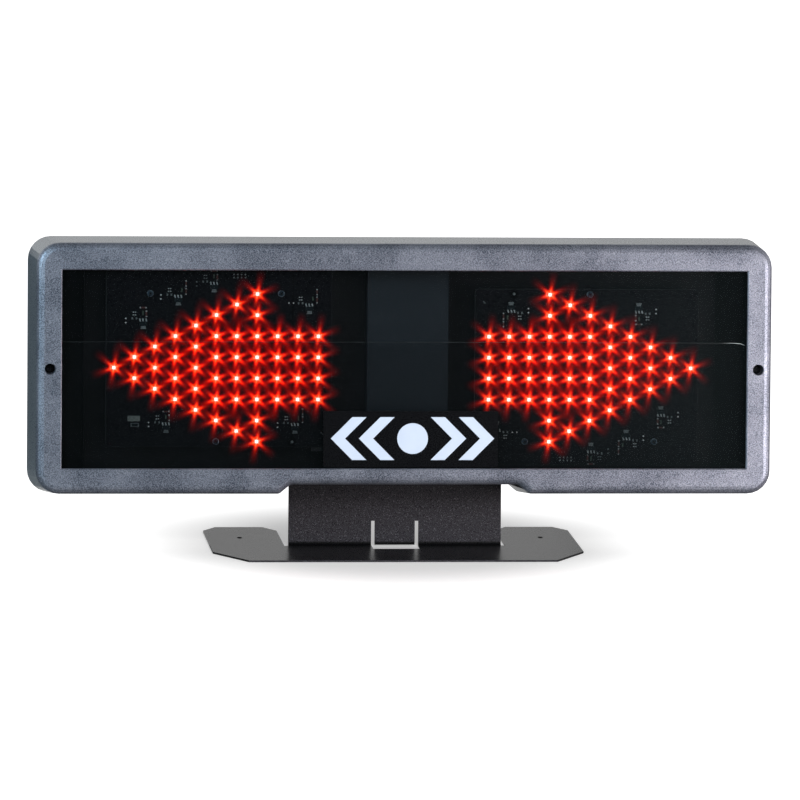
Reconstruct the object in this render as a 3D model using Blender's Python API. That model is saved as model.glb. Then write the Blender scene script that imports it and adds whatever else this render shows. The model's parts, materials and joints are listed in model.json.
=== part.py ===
"""Possession arrow indicator: a lit window case on a bent sheet stand.

Units are metres, +Z is up, +X is to the viewer's right and the front faces -Y.
The origin is at the middle of the base, on the surface it stands on.
The case leans back with the stand's upright plate. Its pieces are modelled in the case's
own frame: x to the right, y is the depth behind the front face, z runs up the front face.
"""

import math

import bmesh
import bpy
from mathutils import Matrix, Vector

# Clearances
GAP = 0.0003              # between neighbouring pieces
SCREW_CLEARANCE = 0.0003  # all round a screw's shank

# LED arrow, which the case is drawn around
LED_PITCH_X = 0.0127
LED_PITCH_Z = 0.0131
LED_BODY = (0.0032, 0.0028, 0.0019)   # width, height and thickness of one square LED
LED_WINDOW_RADIUS = 0.0012
LED_WINDOW_PROUD = 0.0002
LED_WINDOW_SIDES = 8
ARROW_TIP = 14.2          # pitches from the middle of the case to the arrow's tip
HEAD_COLUMNS = 6          # columns of 1, 2, 3 ... LEDs
NOTCHED_ROWS = (-3.0, -1.5, -0.5, 0.5, 1.5, 3.0)
BARB_ROWS = (-3.5, -2.5, -1.5, -0.5, 0.5, 1.5, 2.5, 3.5)
SHAFT_ROWS = (-1.5, -0.5, 0.5, 1.5)
SHAFT_COLUMNS = 3

# Window and bezel
WINDOW_MARGIN_SIDE = 0.0332
WINDOW_MARGIN_TOP = 0.0154
WINDOW_MARGIN_BOTTOM = 0.0158
WINDOW_CHAMFER = 0.0006
BEZEL_SIDE = 0.0156
BEZEL_TOP = 0.0166
BEZEL_BOTTOM = 0.0159
BEZEL_DEPTH = 0.005
BEZEL_ROUND = 0.0048      # less than the bezel's depth
BEZEL_FACE = 0.003        # thickness in front of the lens pocket
CASE_CORNER = 0.0143

# Case
CASE_LIFT = 0.0417        # from the base to the case's lower edge
CASE_DEPTH = 0.0594
CASE_WALL = 0.0025
CASE_FLARE = 0.0022       # the casing grows this much all round to the rear
SIDE_FLARE = 0.0008       # and this much more at its sides and below
REAR_ROUND = 0.005
COVER_THICKNESS = 0.0025
NOTCH_CLEARANCE = 0.0039  # beside the stand's plate
NOTCH_SLOPE = 0.007
NOTCH_RISE = 0.0058
NOTCH_OUTER_RADIUS = 0.003
NOTCH_INNER_RADIUS = 0.003
CORNER_STEPS = 6
NOTCH_STEPS = 3
ROUND_STEPS = 4
COVER_RIM = 0.003         # the casing's rear rim, from its rounded edge to the cover
LEAST_ARC = 0.0008
SHARP_ANGLE = math.radians(32)    # edges sharper than this aren't shaded smooth

# Side counts of round shapes
HOLE_SIDES = 8
POST_SIDES = 12
WIDE_SIDES = 16
NUT_SIDES = 6

# Lens, tape and legend plate
LENS_THICKNESS = 0.0025
LENS_OVERLAP = 0.0064     # above and below the window
LENS_OVERLAP_SIDE = 0.0012
POCKET_PLAY = 0.0005
TAPE_THICKNESS = 0.0008
TAPE_HEIGHT = 0.005
TAPE_INSET = 0.008
LEGEND_WIDTH = 0.109
LEGEND_HEIGHT = 0.035
LEGEND_THICKNESS = 0.0006
CENTRE_SHIFT = 0.0036     # the legend and the control cover lie this far right of the middle
LEGEND_ABOVE_EDGE = 0.0006
LEGEND_CORNER = 0.0008

# LED boards
BOARD_THICKNESS = 0.0016
BOARD_MARGIN_TIP = 0.0049
BOARD_MARGIN_TAIL = 0.0086
BOARD_MARGIN_TOP = 0.0148
BOARD_MARGIN_BOTTOM = 0.0034
LED_BEHIND_LENS = 0.0089
LED_ROOT = 0.0008         # how far an LED's body is sunk into its board
BOARD_SCREWS = ((-12.43, 3.51), (-6.02, 3.51), (-9.19, -3.51))  # in pitches from the middle
# Blocks on a board: pitches from the middle, then width, height and thickness
BOARD_BLOCKS = (
    (-13.15, 2.40, 0.0050, 0.0070, 0.0016),
    (-11.30, 3.50, 0.0050, 0.0070, 0.0016),
    (-9.50, 3.85, 0.0060, 0.0040, 0.0016),
    (-4.60, 3.20, 0.0050, 0.0070, 0.0016),
    (-13.25, -2.40, 0.0074, 0.0040, 0.0020),
    (-12.05, -2.35, 0.0050, 0.0070, 0.0016),
    (-5.75, -2.45, 0.0050, 0.0070, 0.0016),
)

# Chassis, control box and their fixings
CHASSIS_THICKNESS = 0.0012
CHASSIS_INSET_SIDE = 0.0158   # from the window's edge inwards
CHASSIS_BELOW_WINDOW = 0.0049
CHASSIS_ABOVE_WINDOW = 0.004
STANDOFF_LENGTH = 0.0143
STANDOFF_RADIUS = 0.0035
CONTROL_HALF_WIDTH = 0.0253
CONTROL_DEPTH = 0.0087
CONTROL_WALL = 0.0015
CONTROL_END_INSET = 0.0015
CONTROL_BOARD_HEIGHT = 0.078
CONTROL_BOARD_LOW = 0.010     # above the control cover's lower end
CONTROL_BOARD_THICKNESS = 0.0016
CONTROL_STANDOFF_LENGTH = 0.0027
CONTROL_STANDOFF_RADIUS = 0.003
POST_RADIUS = 0.004
POST_X = 0.12
POST_RISE = 0.02
POST_HOLE_DEPTH = 0.012
LEAD_HOLE_RADIUS = 0.007

# Ribbon cables, which lie behind the legend plate
RIBBON_WIDTH = 0.016
RIBBON_THICKNESS = 0.0009
RIBBON_RISE = 0.0175          # its middle above the window's lower edge
RIBBON_REACH = 0.012          # under each board
RIBBON_INSIDE = 0.005         # inside the control cover
RIBBON_SLOT_PLAY = 0.0006

# Screws: head radius, head height, shank radius
SMALL_SCREW = (0.003, 0.0018, 0.0015)
STAND_SCREW = (0.004, 0.0025, 0.002)
SCREW_SIDES = 12
RECESS_WIDTH = 0.0009
RECESS_DEPTH = 0.001
RECESS_REACH = 0.55           # share of the head's radius
HEAD_CROWN = 0.62             # share of the head's radius that is flat
HEAD_SKIRT = 0.45             # share of the head's height that is its upright edge
SCREW_FILL = 0.8              # share of a hole's depth that its screw fills
STANDOFF_FILL = 0.5           # the same in a board's standoff
BEZEL_SCREW_OFFSET = 0.0071   # outside the window's edge
BEZEL_TUBE_RADIUS = 0.005
BEZEL_TUBE_BORE = 0.0035
BEZEL_TUBE_LENGTH = 0.007     # behind the bezel
BEZEL_TUBE_FLOOR = 0.0015
BEZEL_BOSS_LENGTH = 0.018
BOSS_RADIUS = 0.0042
BOSS_START = 0.014
BOSS_HOLE_DEPTH = 0.012
BOSS_INSET_X = 0.0135         # from the case's side to a corner boss
BOSS_INSET_Z = 0.0128
TOP_BOSS_X = 0.075
TOP_BOSS_DROP = 0.0078
WEB_THICKNESS = 0.002
LEDGE_THICKNESS = 0.002
LEDGE_LAP = 0.003             # how far a ledge reaches behind the lens
LEDGE_END = 0.0088            # from the window's edge inwards to a ledge's end

# Stand
SHEET = 0.0012
LEAN = math.radians(5.0)
BEND_RADIUS = 0.0015
BEND_STEPS = 5
FRONT_REACH = 0.056
REAR_REACH = 0.066
STAND_SCREW_X = 0.045
STAND_SCREW_LOW = 0.0341      # above the case's lower edge
STAND_SCREW_SPACING = 0.04
PLATE_SIDE_MARGIN = 0.0222
PLATE_TOP_MARGIN = 0.02
WING_GAP = 0.0027
WING_WIDTH = 0.0467
RELIEF_DEPTH = 0.0018
FRONT_CHAMFER = (0.0202, 0.0308)
REAR_OUTER_CHAMFER = (0.0086, 0.013)
REAR_INNER_CHAMFER = (0.0081, 0.0134)
TONGUE_HALF_WIDTH = 0.0127
SLIT_WIDTH = 0.0022
SLIT_HEIGHT = 0.015
TONGUE_SHAVE = 0.00003        # keeps the tongue's foot just inside the plate's faces
SLOT_REACH = 0.0147
WING_SLOT_WIDTH = 0.003
WING_SLOT_LENGTH = 0.006
WING_SLOT_BEHIND = 0.0263
WING_SLOT_INSET = 0.0257      # from the wing's inner edge to the slot's middle
WING_SLOT_STEPS = 5
NUT_RADIUS = 0.00404
NUT_THICKNESS = 0.0032
NUT_PROUD = 0.0013            # how far the screw's end stands out of the nut

# Selector switch, in the rear cover above the stand's plate
SELECTOR_RISE = 0.041         # above the arrow's middle
SELECTOR_FLANGE = (0.028, 0.016, 0.002)
SELECTOR_BODY = (0.025, 0.013, 0.0136)
SELECTOR_WALL = 0.0012
SELECTOR_FLOOR = 0.006
ROCKER_PLAY = 0.0004
ROCKER_AXIS_DEPTH = 0.001     # in front of the cover's outer face
ROCKER_END_HEIGHT = 0.0056
ROCKER_MIDDLE_HEIGHT = 0.004
ROCKER_SKIRT = 0.003
ROCKER_STEPS = 5
ROCKER_STUB_RADIUS = 0.0009
ROCKER_STUB_LENGTH = 0.0009
SOCKET_RADIUS = 0.00125

# Power inlet
INLET_X = -0.11
INLET_RISE = 0.0211           # above the case's lower edge
INLET_RADIUS = 0.0052
INLET_FLANGE_RADIUS = 0.007
INLET_FLANGE = 0.0018
INLET_LENGTH = 0.0126
INLET_BORE_RADIUS = 0.0032
INLET_BORE_DEPTH = 0.009
INLET_PIN_RADIUS = 0.00105
INLET_PIN_SHORT = 0.001
INLET_NUT_RADIUS = 0.0081
INLET_NUT_THICKNESS = 0.003

# Leads inside the case
LEAD_RADIUS = 0.0015
LEAD_POINTS = 37
LEAD_SPACING = 0.0035         # of the two leads either side of the chassis hole's middle
LEAD_BEHIND_CHASSIS = 0.004

# Places worked out from the sizes above, in the case's frame
TIP_X = ARROW_TIP * LED_PITCH_X
BARB_Z = BARB_ROWS[-1] * LED_PITCH_Z
WINDOW_HALF = TIP_X + WINDOW_MARGIN_SIDE
WINDOW_LOW = CASE_LIFT + BEZEL_BOTTOM
ARROW_Z = WINDOW_LOW + WINDOW_MARGIN_BOTTOM + BARB_Z
WINDOW_HIGH = ARROW_Z + BARB_Z + WINDOW_MARGIN_TOP
CASE_HALF = WINDOW_HALF + BEZEL_SIDE
CASE_HIGH = WINDOW_HIGH + BEZEL_TOP
SHELL_FRONT = BEZEL_DEPTH + GAP
COVER_FRONT = CASE_DEPTH - COVER_THICKNESS
LENS_FRONT = BEZEL_FACE + GAP + TAPE_THICKNESS + GAP
LENS_BACK = LENS_FRONT + LENS_THICKNESS
LENS_HALF = WINDOW_HALF + LENS_OVERLAP_SIDE
LENS_LOW = WINDOW_LOW - LENS_OVERLAP
LENS_HIGH = WINDOW_HIGH + LENS_OVERLAP
BOARD_FRONT = LENS_BACK + LED_BEHIND_LENS + LED_WINDOW_PROUD + LED_BODY[2]
BOARD_BACK = BOARD_FRONT + BOARD_THICKNESS
CHASSIS_FRONT = BOARD_BACK + GAP + STANDOFF_LENGTH + GAP
CHASSIS_BACK = CHASSIS_FRONT + CHASSIS_THICKNESS
CHASSIS_HALF = WINDOW_HALF - CHASSIS_INSET_SIDE
CHASSIS_LOW = WINDOW_LOW - CHASSIS_BELOW_WINDOW
CHASSIS_HIGH = WINDOW_HIGH + CHASSIS_ABOVE_WINDOW
CONTROL_BACK = CHASSIS_FRONT - GAP
CONTROL_FRONT = CONTROL_BACK - CONTROL_DEPTH
CONTROL_LOW = CHASSIS_LOW + CONTROL_END_INSET
CONTROL_HIGH = CHASSIS_HIGH - CONTROL_END_INSET
CONTROL_BOARD_BACK = CHASSIS_FRONT - 2 * GAP - CONTROL_STANDOFF_LENGTH
CONTROL_BOARD_FRONT = CONTROL_BOARD_BACK - CONTROL_BOARD_THICKNESS
CONTROL_BOARD_BOTTOM = CONTROL_LOW + CONTROL_BOARD_LOW
CONTROL_BOARD_MIDDLE = CONTROL_BOARD_BOTTOM + CONTROL_BOARD_HEIGHT / 2
CONTROL_BOARD_HALF = CONTROL_HALF_WIDTH - CONTROL_WALL - 2 * GAP
BEZEL_SCREW_X = WINDOW_HALF + BEZEL_SCREW_OFFSET
BEZEL_TUBE_END = BEZEL_DEPTH + BEZEL_TUBE_LENGTH
PLATE_HALF = STAND_SCREW_X + PLATE_SIDE_MARGIN
NOTCH_TOP_HALF = PLATE_HALF + NOTCH_CLEARANCE
NOTCH_BOTTOM_HALF = NOTCH_TOP_HALF + NOTCH_SLOPE
NOTCH_TOP = CASE_LIFT + NOTCH_RISE
STAND_SCREW_ROWS = (
    CASE_LIFT + STAND_SCREW_LOW,
    CASE_LIFT + STAND_SCREW_LOW + STAND_SCREW_SPACING,
)
PLATE_FRONT = CASE_DEPTH + GAP
PLATE_TOP = STAND_SCREW_ROWS[1] + PLATE_TOP_MARGIN
RIBBON_Z = WINDOW_LOW + RIBBON_RISE
POST_ROWS = (ARROW_Z - POST_RISE, ARROW_Z + POST_RISE)
SELECTOR_Z = ARROW_Z + SELECTOR_RISE
INLET_Z = CASE_LIFT + INLET_RISE
BEND_Y = (FRONT_REACH - REAR_REACH) / 2
CASE_Y = BEND_Y - PLATE_FRONT / math.cos(LEAN)
CORNER_BOSSES = [
    (side * (CASE_HALF - BOSS_INSET_X), z)
    for side in (-1, 1)
    for z in (CASE_LIFT + BOSS_INSET_Z, CASE_HIGH - BOSS_INSET_Z)
]
TOP_BOSSES = [(side * TOP_BOSS_X, CASE_HIGH - TOP_BOSS_DROP) for side in (-1, 1)]

# How far a cutting shape runs past the face it cuts
PAST = 0.001


def clear_scene():
    for item in list(bpy.data.objects):
        bpy.data.objects.remove(item, do_unlink=True)


def material(name, colour, roughness, metallic=0.0, alpha=1.0):
    made = bpy.data.materials.new(name)
    made.use_nodes = True
    shader = made.node_tree.nodes["Principled BSDF"]
    shader.inputs["Base Color"].default_value = (*colour, 1.0)
    shader.inputs["Roughness"].default_value = roughness
    shader.inputs["Metallic"].default_value = metallic
    shader.inputs["Alpha"].default_value = alpha
    return made


def to_mesh(bm, name="shape"):
    """Turn a bmesh into a mesh with its faces pointing out."""
    bmesh.ops.recalc_face_normals(bm, faces=bm.faces)
    mesh = bpy.data.meshes.new(name)
    bm.to_mesh(mesh)
    bm.free()
    return mesh


def box(x_range, y_range, z_range):
    """A box between two values on each axis."""
    bm = bmesh.new()
    low = Vector((x_range[0], y_range[0], z_range[0]))
    high = Vector((x_range[1], y_range[1], z_range[1]))
    bmesh.ops.create_cube(bm, size=1.0)
    bmesh.ops.scale(bm, vec=high - low, verts=bm.verts)
    bmesh.ops.translate(bm, vec=(low + high) / 2, verts=bm.verts)
    return to_mesh(bm)


def loft(rings):
    """A closed solid through rings of equal point count, with flat ends."""
    bm = bmesh.new()
    rows = [[bm.verts.new(point) for point in ring] for ring in rings]
    for near, far in zip(rows, rows[1:]):
        for i in range(len(near)):
            j = (i + 1) % len(near)
            bm.faces.new((near[i], near[j], far[j], far[i]))
    bm.faces.new(rows[0])
    bm.faces.new(rows[-1])
    return to_mesh(bm)


def prism(points, y_range):
    """An (x, z) outline run from one depth to another."""
    return loft([[(x, y, z) for x, z in points] for y in y_range])


def turned(profile, sides, x=0.0, z=0.0, phase=0.0):
    """A (radius, depth) profile turned about the depth axis through x, z."""
    bm = bmesh.new()
    rows = []
    for radius, depth in profile:
        if radius == 0.0:
            rows.append([bm.verts.new((x, depth, z))])
            continue
        angles = [phase + 2 * math.pi * i / sides for i in range(sides)]
        rows.append([
            bm.verts.new((x + radius * math.cos(a), depth, z + radius * math.sin(a)))
            for a in angles
        ])
    for near, far in zip(rows, rows[1:]):
        for i in range(sides):
            j = (i + 1) % sides
            if len(near) == 1:
                bm.faces.new((near[0], far[j], far[i]))
            elif len(far) == 1:
                bm.faces.new((near[i], near[j], far[0]))
            else:
                bm.faces.new((near[i], near[j], far[j], far[i]))
    for row in (rows[0], rows[-1]):
        if len(row) > 1:
            bm.faces.new(row)
    return to_mesh(bm)


def rod(radius, y_range, x, z, sides=POST_SIDES, phase=0.0):
    return turned([(radius, y_range[0]), (radius, y_range[1])], sides, x, z, phase)


def joined(meshes):
    """Several meshes as one, without uniting them."""
    bm = bmesh.new()
    for mesh in meshes:
        bm.from_mesh(mesh)
    return to_mesh(bm)


def combined(base, tool, operation):
    """One mesh united with, or cut by, another."""
    collection = bpy.context.scene.collection
    target = bpy.data.objects.new("target", base)
    other = bpy.data.objects.new("other", tool)
    collection.objects.link(target)
    collection.objects.link(other)
    step = target.modifiers.new("step", "BOOLEAN")
    step.operation = operation
    step.solver = "EXACT"
    step.object = other
    bpy.context.view_layer.update()
    graph = bpy.context.evaluated_depsgraph_get()
    result = bpy.data.meshes.new_from_object(target.evaluated_get(graph))
    result.materials.clear()
    bpy.data.objects.remove(target, do_unlink=True)
    bpy.data.objects.remove(other, do_unlink=True)
    return result


def united(base, *others):
    for other in others:
        base = combined(base, other, "UNION")
    return base


def cut(base, *tools):
    for tool in tools:
        base = combined(base, tool, "DIFFERENCE")
    return base


def place(name, mesh, finish, parent=None, location=(0, 0, 0), turn=(0, 0, 0)):
    """Put a mesh in the scene as a named sub-part."""
    item = bpy.data.objects.new(name, mesh)
    bpy.context.scene.collection.objects.link(item)
    if not mesh.materials:
        mesh.materials.append(finish)
    mesh.shade_smooth()
    mesh.set_sharp_from_angle(angle=SHARP_ANGLE)
    item.parent = parent
    item.location = location
    item.rotation_euler = turn
    return item


def rounded(corners, inset=0.0):
    """A counter-clockwise outline of (x, z, radius, steps) corners, moved inwards by inset."""
    points = []
    count = len(corners)
    for i, (x, z, radius, steps) in enumerate(corners):
        here = Vector((x, z))
        before = Vector(corners[i - 1][:2])
        after = Vector(corners[(i + 1) % count][:2])
        along_in = (here - before).normalized()
        along_out = (after - here).normalized()
        normal_in = Vector((-along_in.y, along_in.x))
        normal_out = Vector((-along_out.y, along_out.x))
        corner = here + (normal_in + normal_out) * inset / (1 + normal_in.dot(normal_out))
        turn = math.atan2(along_in.cross(along_out), along_in.dot(along_out))
        side = 1 if turn > 0 else -1
        arc = max(radius - side * inset, LEAST_ARC)
        start = corner - along_in * arc * math.tan(abs(turn) / 2)
        centre = start + normal_in * side * arc
        for k in range(steps + 1):
            angle = turn * k / steps
            points.append(centre + Matrix.Rotation(angle, 2) @ (start - centre))
    return [(p.x, p.y) for p in points]


def rectangle(half_width, low, high, radius=0.0, steps=2, middle=0.0):
    """A rectangle's outline, with rounded corners where a radius is given."""
    corners = (
        (middle - half_width, low),
        (middle + half_width, low),
        (middle + half_width, high),
        (middle - half_width, high),
    )
    if radius == 0.0:
        return list(corners)
    return rounded([(x, z, radius, steps) for x, z in corners])


def case_outline(inset, spread=0.0, corner=CASE_CORNER):
    """The case's outline, notch included, moved inwards by inset.

    Spread moves its sides and its lower edge out, and narrows the notch as much.
    """
    half = CASE_HALF + spread
    low = CASE_LIFT - spread
    foot = NOTCH_BOTTOM_HALF - spread
    head = NOTCH_TOP_HALF - spread
    roof = NOTCH_TOP - spread
    return rounded(
        [
            (-half, low, corner, CORNER_STEPS),
            (-foot, low, NOTCH_OUTER_RADIUS, NOTCH_STEPS),
            (-head, roof, NOTCH_INNER_RADIUS, NOTCH_STEPS),
            (head, roof, NOTCH_INNER_RADIUS, NOTCH_STEPS),
            (foot, low, NOTCH_OUTER_RADIUS, NOTCH_STEPS),
            (half, low, corner, CORNER_STEPS),
            (half, CASE_HIGH, corner, CORNER_STEPS),
            (-half, CASE_HIGH, corner, CORNER_STEPS),
        ],
        inset,
    )


def case_ring(depth, inset):
    return [(x, depth, z) for x, z in case_outline(inset)]


def flare_share(depth):
    """How much of its flare the casing has at a depth, from 0 in front to 1 at the rear."""
    return (depth - SHELL_FRONT) / (CASE_DEPTH - SHELL_FRONT)


def shell_ring(depth, inset):
    """The casing's outside at a depth, moved inwards by inset. Its corners keep their radius."""
    share = flare_share(depth)
    flare = CASE_FLARE * share
    outline = case_outline(inset - flare, SIDE_FLARE * share, CASE_CORNER - flare)
    return [(x, depth, z) for x, z in outline]


def make_bezel(finish, case):
    rings = [case_ring(BEZEL_DEPTH, 0.0)]
    for k in range(ROUND_STEPS + 1):
        angle = math.pi / 2 * k / ROUND_STEPS
        inset = BEZEL_ROUND * (1 - math.cos(angle))
        rings.append(case_ring(BEZEL_ROUND * (1 - math.sin(angle)), inset))
    body = loft(rings)
    tubes = []
    bores = []
    for side in (-1, 1):
        x = side * BEZEL_SCREW_X
        span = (BEZEL_FACE, BEZEL_TUBE_END)
        tubes.append(rod(BEZEL_TUBE_RADIUS, span, x, ARROW_Z, WIDE_SIDES))
        floor = BEZEL_TUBE_END - BEZEL_TUBE_FLOOR
        hole = SMALL_SCREW[2] + SCREW_CLEARANCE
        bore = [
            (BEZEL_TUBE_BORE, -PAST),
            (BEZEL_TUBE_BORE, floor),
            (hole, floor),
            (hole, BEZEL_TUBE_END + PAST),
        ]
        bores.append(turned(bore, WIDE_SIDES, x, ARROW_Z))
    body = united(body, joined(tubes))
    window = loft([
        [(x, y, z) for x, z in rectangle(WINDOW_HALF + grow, WINDOW_LOW - grow, WINDOW_HIGH + grow)]
        for y, grow in (
            (-PAST, WINDOW_CHAMFER + PAST),
            (WINDOW_CHAMFER, 0.0),
            (BEZEL_DEPTH + PAST, 0.0),
        )
    ])
    pocket = prism(
        rectangle(LENS_HALF + POCKET_PLAY, LENS_LOW - POCKET_PLAY, LENS_HIGH + POCKET_PLAY),
        (BEZEL_FACE, BEZEL_DEPTH + PAST),
    )
    body = cut(body, window, pocket, joined(bores))
    place("front_bezel", body, finish, case)


def make_lens(finish, tape_finish, case):
    pane = prism(rectangle(LENS_HALF, LENS_LOW, LENS_HIGH), (LENS_FRONT, LENS_BACK))
    place("window_lens", pane, finish, case)
    tape_depth = (BEZEL_FACE + GAP, BEZEL_FACE + GAP + TAPE_THICKNESS)
    margin = (LENS_OVERLAP - TAPE_HEIGHT) / 2
    for name, low in (("lens_tape_top", WINDOW_HIGH + margin), ("lens_tape_bottom", LENS_LOW + margin)):
        strip = prism(rectangle(WINDOW_HALF - TAPE_INSET, low, low + TAPE_HEIGHT), tape_depth)
        place(name, strip, tape_finish, case)


def make_legend(finish, case):
    low = WINDOW_LOW + LEGEND_ABOVE_EDGE
    outline = rectangle(
        LEGEND_WIDTH / 2, low, low + LEGEND_HEIGHT, LEGEND_CORNER, middle=CENTRE_SHIFT
    )
    back = LENS_FRONT - GAP
    place("legend_plate", prism(outline, (back - LEGEND_THICKNESS, back)), finish, case)


def shell_boss(x, z, y_range, side):
    """A screw boss with a web to a side wall, which side 1 or -1 gives, or with 0 to the top."""
    boss = rod(BOSS_RADIUS, y_range, x, z, POST_SIDES)
    half = WEB_THICKNESS / 2
    rings = []
    for depth in y_range:
        grown = CASE_FLARE * flare_share(depth) - CASE_WALL / 2
        if side == 0:
            x_range = (x - half, x + half)
            z_range = (z, CASE_HIGH + grown)
        else:
            wall = CASE_HALF + SIDE_FLARE * flare_share(depth) + grown
            x_range = sorted((x, side * wall))
            z_range = (z - half, z + half)
        rings.append([
            (x_range[0], depth, z_range[0]),
            (x_range[1], depth, z_range[0]),
            (x_range[1], depth, z_range[1]),
            (x_range[0], depth, z_range[1]),
        ])
    return united(boss, loft(rings))


def make_shell(finish, case):
    round_start = CASE_DEPTH - REAR_ROUND
    rings = [shell_ring(SHELL_FRONT, 0.0)]
    for k in range(ROUND_STEPS):
        angle = math.pi / 2 * k / (ROUND_STEPS - 1)
        depth = round_start + REAR_ROUND * math.sin(angle)
        rings.append(shell_ring(depth, REAR_ROUND * (1 - math.cos(angle))))
    outside = loft(rings)
    inside = loft([
        shell_ring(SHELL_FRONT - PAST, CASE_WALL),
        shell_ring(round_start, CASE_WALL),
        shell_ring(COVER_FRONT, REAR_ROUND),
        shell_ring(COVER_FRONT, REAR_ROUND + COVER_RIM),
        shell_ring(CASE_DEPTH + PAST, REAR_ROUND + COVER_RIM),
    ])
    body = cut(outside, inside)
    boss_end = COVER_FRONT - GAP
    extras = []
    for x, z in CORNER_BOSSES:
        extras.append(shell_boss(x, z, (BOSS_START, boss_end), math.copysign(1, x)))
    for x, z in TOP_BOSSES:
        extras.append(shell_boss(x, z, (BOSS_START, boss_end), 0))
    start = BEZEL_TUBE_END + GAP
    for side in (-1, 1):
        span = (start, start + BEZEL_BOSS_LENGTH)
        extras.append(shell_boss(side * BEZEL_SCREW_X, ARROW_Z, span, side))
    ledge_depth = (LENS_BACK + GAP, LENS_BACK + GAP + LEDGE_THICKNESS)
    ledge_half = WINDOW_HALF - LEDGE_END
    half_wall = CASE_WALL / 2
    low_end = LENS_LOW + LEDGE_LAP
    extras.append(box((-ledge_half, ledge_half), ledge_depth, (LENS_HIGH - LEDGE_LAP, CASE_HIGH - half_wall)))
    flat_half = NOTCH_TOP_HALF - NOTCH_INNER_RADIUS
    extras.append(box((-flat_half, flat_half), ledge_depth, (NOTCH_TOP + half_wall, low_end)))
    outer_start = NOTCH_BOTTOM_HALF + NOTCH_OUTER_RADIUS
    for side in (-1, 1):
        span = sorted((side * outer_start, side * ledge_half))
        extras.append(box(span, ledge_depth, (CASE_LIFT + half_wall, low_end)))
    body = united(body, joined(extras))
    hole = SMALL_SCREW[2] + SCREW_CLEARANCE
    holes = [
        rod(hole, (boss_end - BOSS_HOLE_DEPTH, boss_end + PAST), x, z, HOLE_SIDES)
        for x, z in CORNER_BOSSES + TOP_BOSSES
    ]
    span = (start - PAST, start + BOSS_HOLE_DEPTH)
    for side in (-1, 1):
        holes.append(rod(hole, span, side * BEZEL_SCREW_X, ARROW_Z, HOLE_SIDES))
    body = cut(body, joined(holes))
    place("case_shell", body, finish, case)


def post_places():
    return [(side * POST_X, z) for side in (-1, 1) for z in POST_ROWS]


def stand_screw_places():
    return [(side * STAND_SCREW_X, z) for side in (-1, 1) for z in STAND_SCREW_ROWS]


def make_rear_cover(finish, case):
    inset = REAR_ROUND + COVER_RIM + GAP
    body = loft([shell_ring(depth, inset) for depth in (COVER_FRONT, CASE_DEPTH)])
    post_start = CHASSIS_BACK + GAP
    post_span = (post_start, COVER_FRONT + COVER_THICKNESS / 2)
    posts = [rod(POST_RADIUS, post_span, x, z, POST_SIDES) for x, z in post_places()]
    body = united(body, joined(posts))
    small = SMALL_SCREW[2] + SCREW_CLEARANCE
    through = (COVER_FRONT - PAST, CASE_DEPTH + PAST)
    holes = [rod(small, through, x, z, HOLE_SIDES) for x, z in CORNER_BOSSES + TOP_BOSSES]
    stand_hole = STAND_SCREW[2] + SCREW_CLEARANCE
    holes += [rod(stand_hole, through, x, z, HOLE_SIDES) for x, z in stand_screw_places()]
    holes.append(rod(INLET_RADIUS + GAP, through, INLET_X, INLET_Z, WIDE_SIDES))
    blind = (post_start - PAST, post_start + POST_HOLE_DEPTH)
    holes += [rod(small, blind, x, z, HOLE_SIDES) for x, z in post_places()]
    half_x = SELECTOR_BODY[0] / 2 + GAP
    half_z = SELECTOR_BODY[1] / 2 + GAP
    holes.append(box((-half_x, half_x), through, (SELECTOR_Z - half_z, SELECTOR_Z + half_z)))
    place("rear_cover", cut(body, joined(holes)), finish, case)


def grid(column, row):
    """A place on the left board, in pitches from the middle of the case."""
    return column * LED_PITCH_X, ARROW_Z + row * LED_PITCH_Z


def opposite(x, z):
    """The same place on the right board, which is the left one turned half round."""
    return -x, 2 * ARROW_Z - z


def arrow_places():
    """The LEDs of the left arrow, from its tip."""
    places = []
    for k in range(HEAD_COLUMNS):
        places += [(k - ARROW_TIP, row - k / 2) for row in range(k + 1)]
    places += [(HEAD_COLUMNS - ARROW_TIP, row) for row in NOTCHED_ROWS]
    places += [(HEAD_COLUMNS + 1 - ARROW_TIP, row) for row in BARB_ROWS]
    for k in range(SHAFT_COLUMNS):
        places += [(HEAD_COLUMNS + 2 + k - ARROW_TIP, row) for row in SHAFT_ROWS]
    return places


def led(x, z):
    """One square LED, sunk a little into its board, with its round window a little proud."""
    width, height, thickness = LED_BODY
    front = BOARD_FRONT - thickness
    body = box(
        (x - width / 2, x + width / 2),
        (front, BOARD_FRONT + LED_ROOT),
        (z - height / 2, z + height / 2),
    )
    span = (front - LED_WINDOW_PROUD, front + thickness / 2)
    phase = math.pi / LED_WINDOW_SIDES
    return body, rod(LED_WINDOW_RADIUS, span, x, z, LED_WINDOW_SIDES, phase)


def board_screw_places():
    left = [grid(*spot) for spot in BOARD_SCREWS]
    return left + [opposite(*spot) for spot in left]


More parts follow.
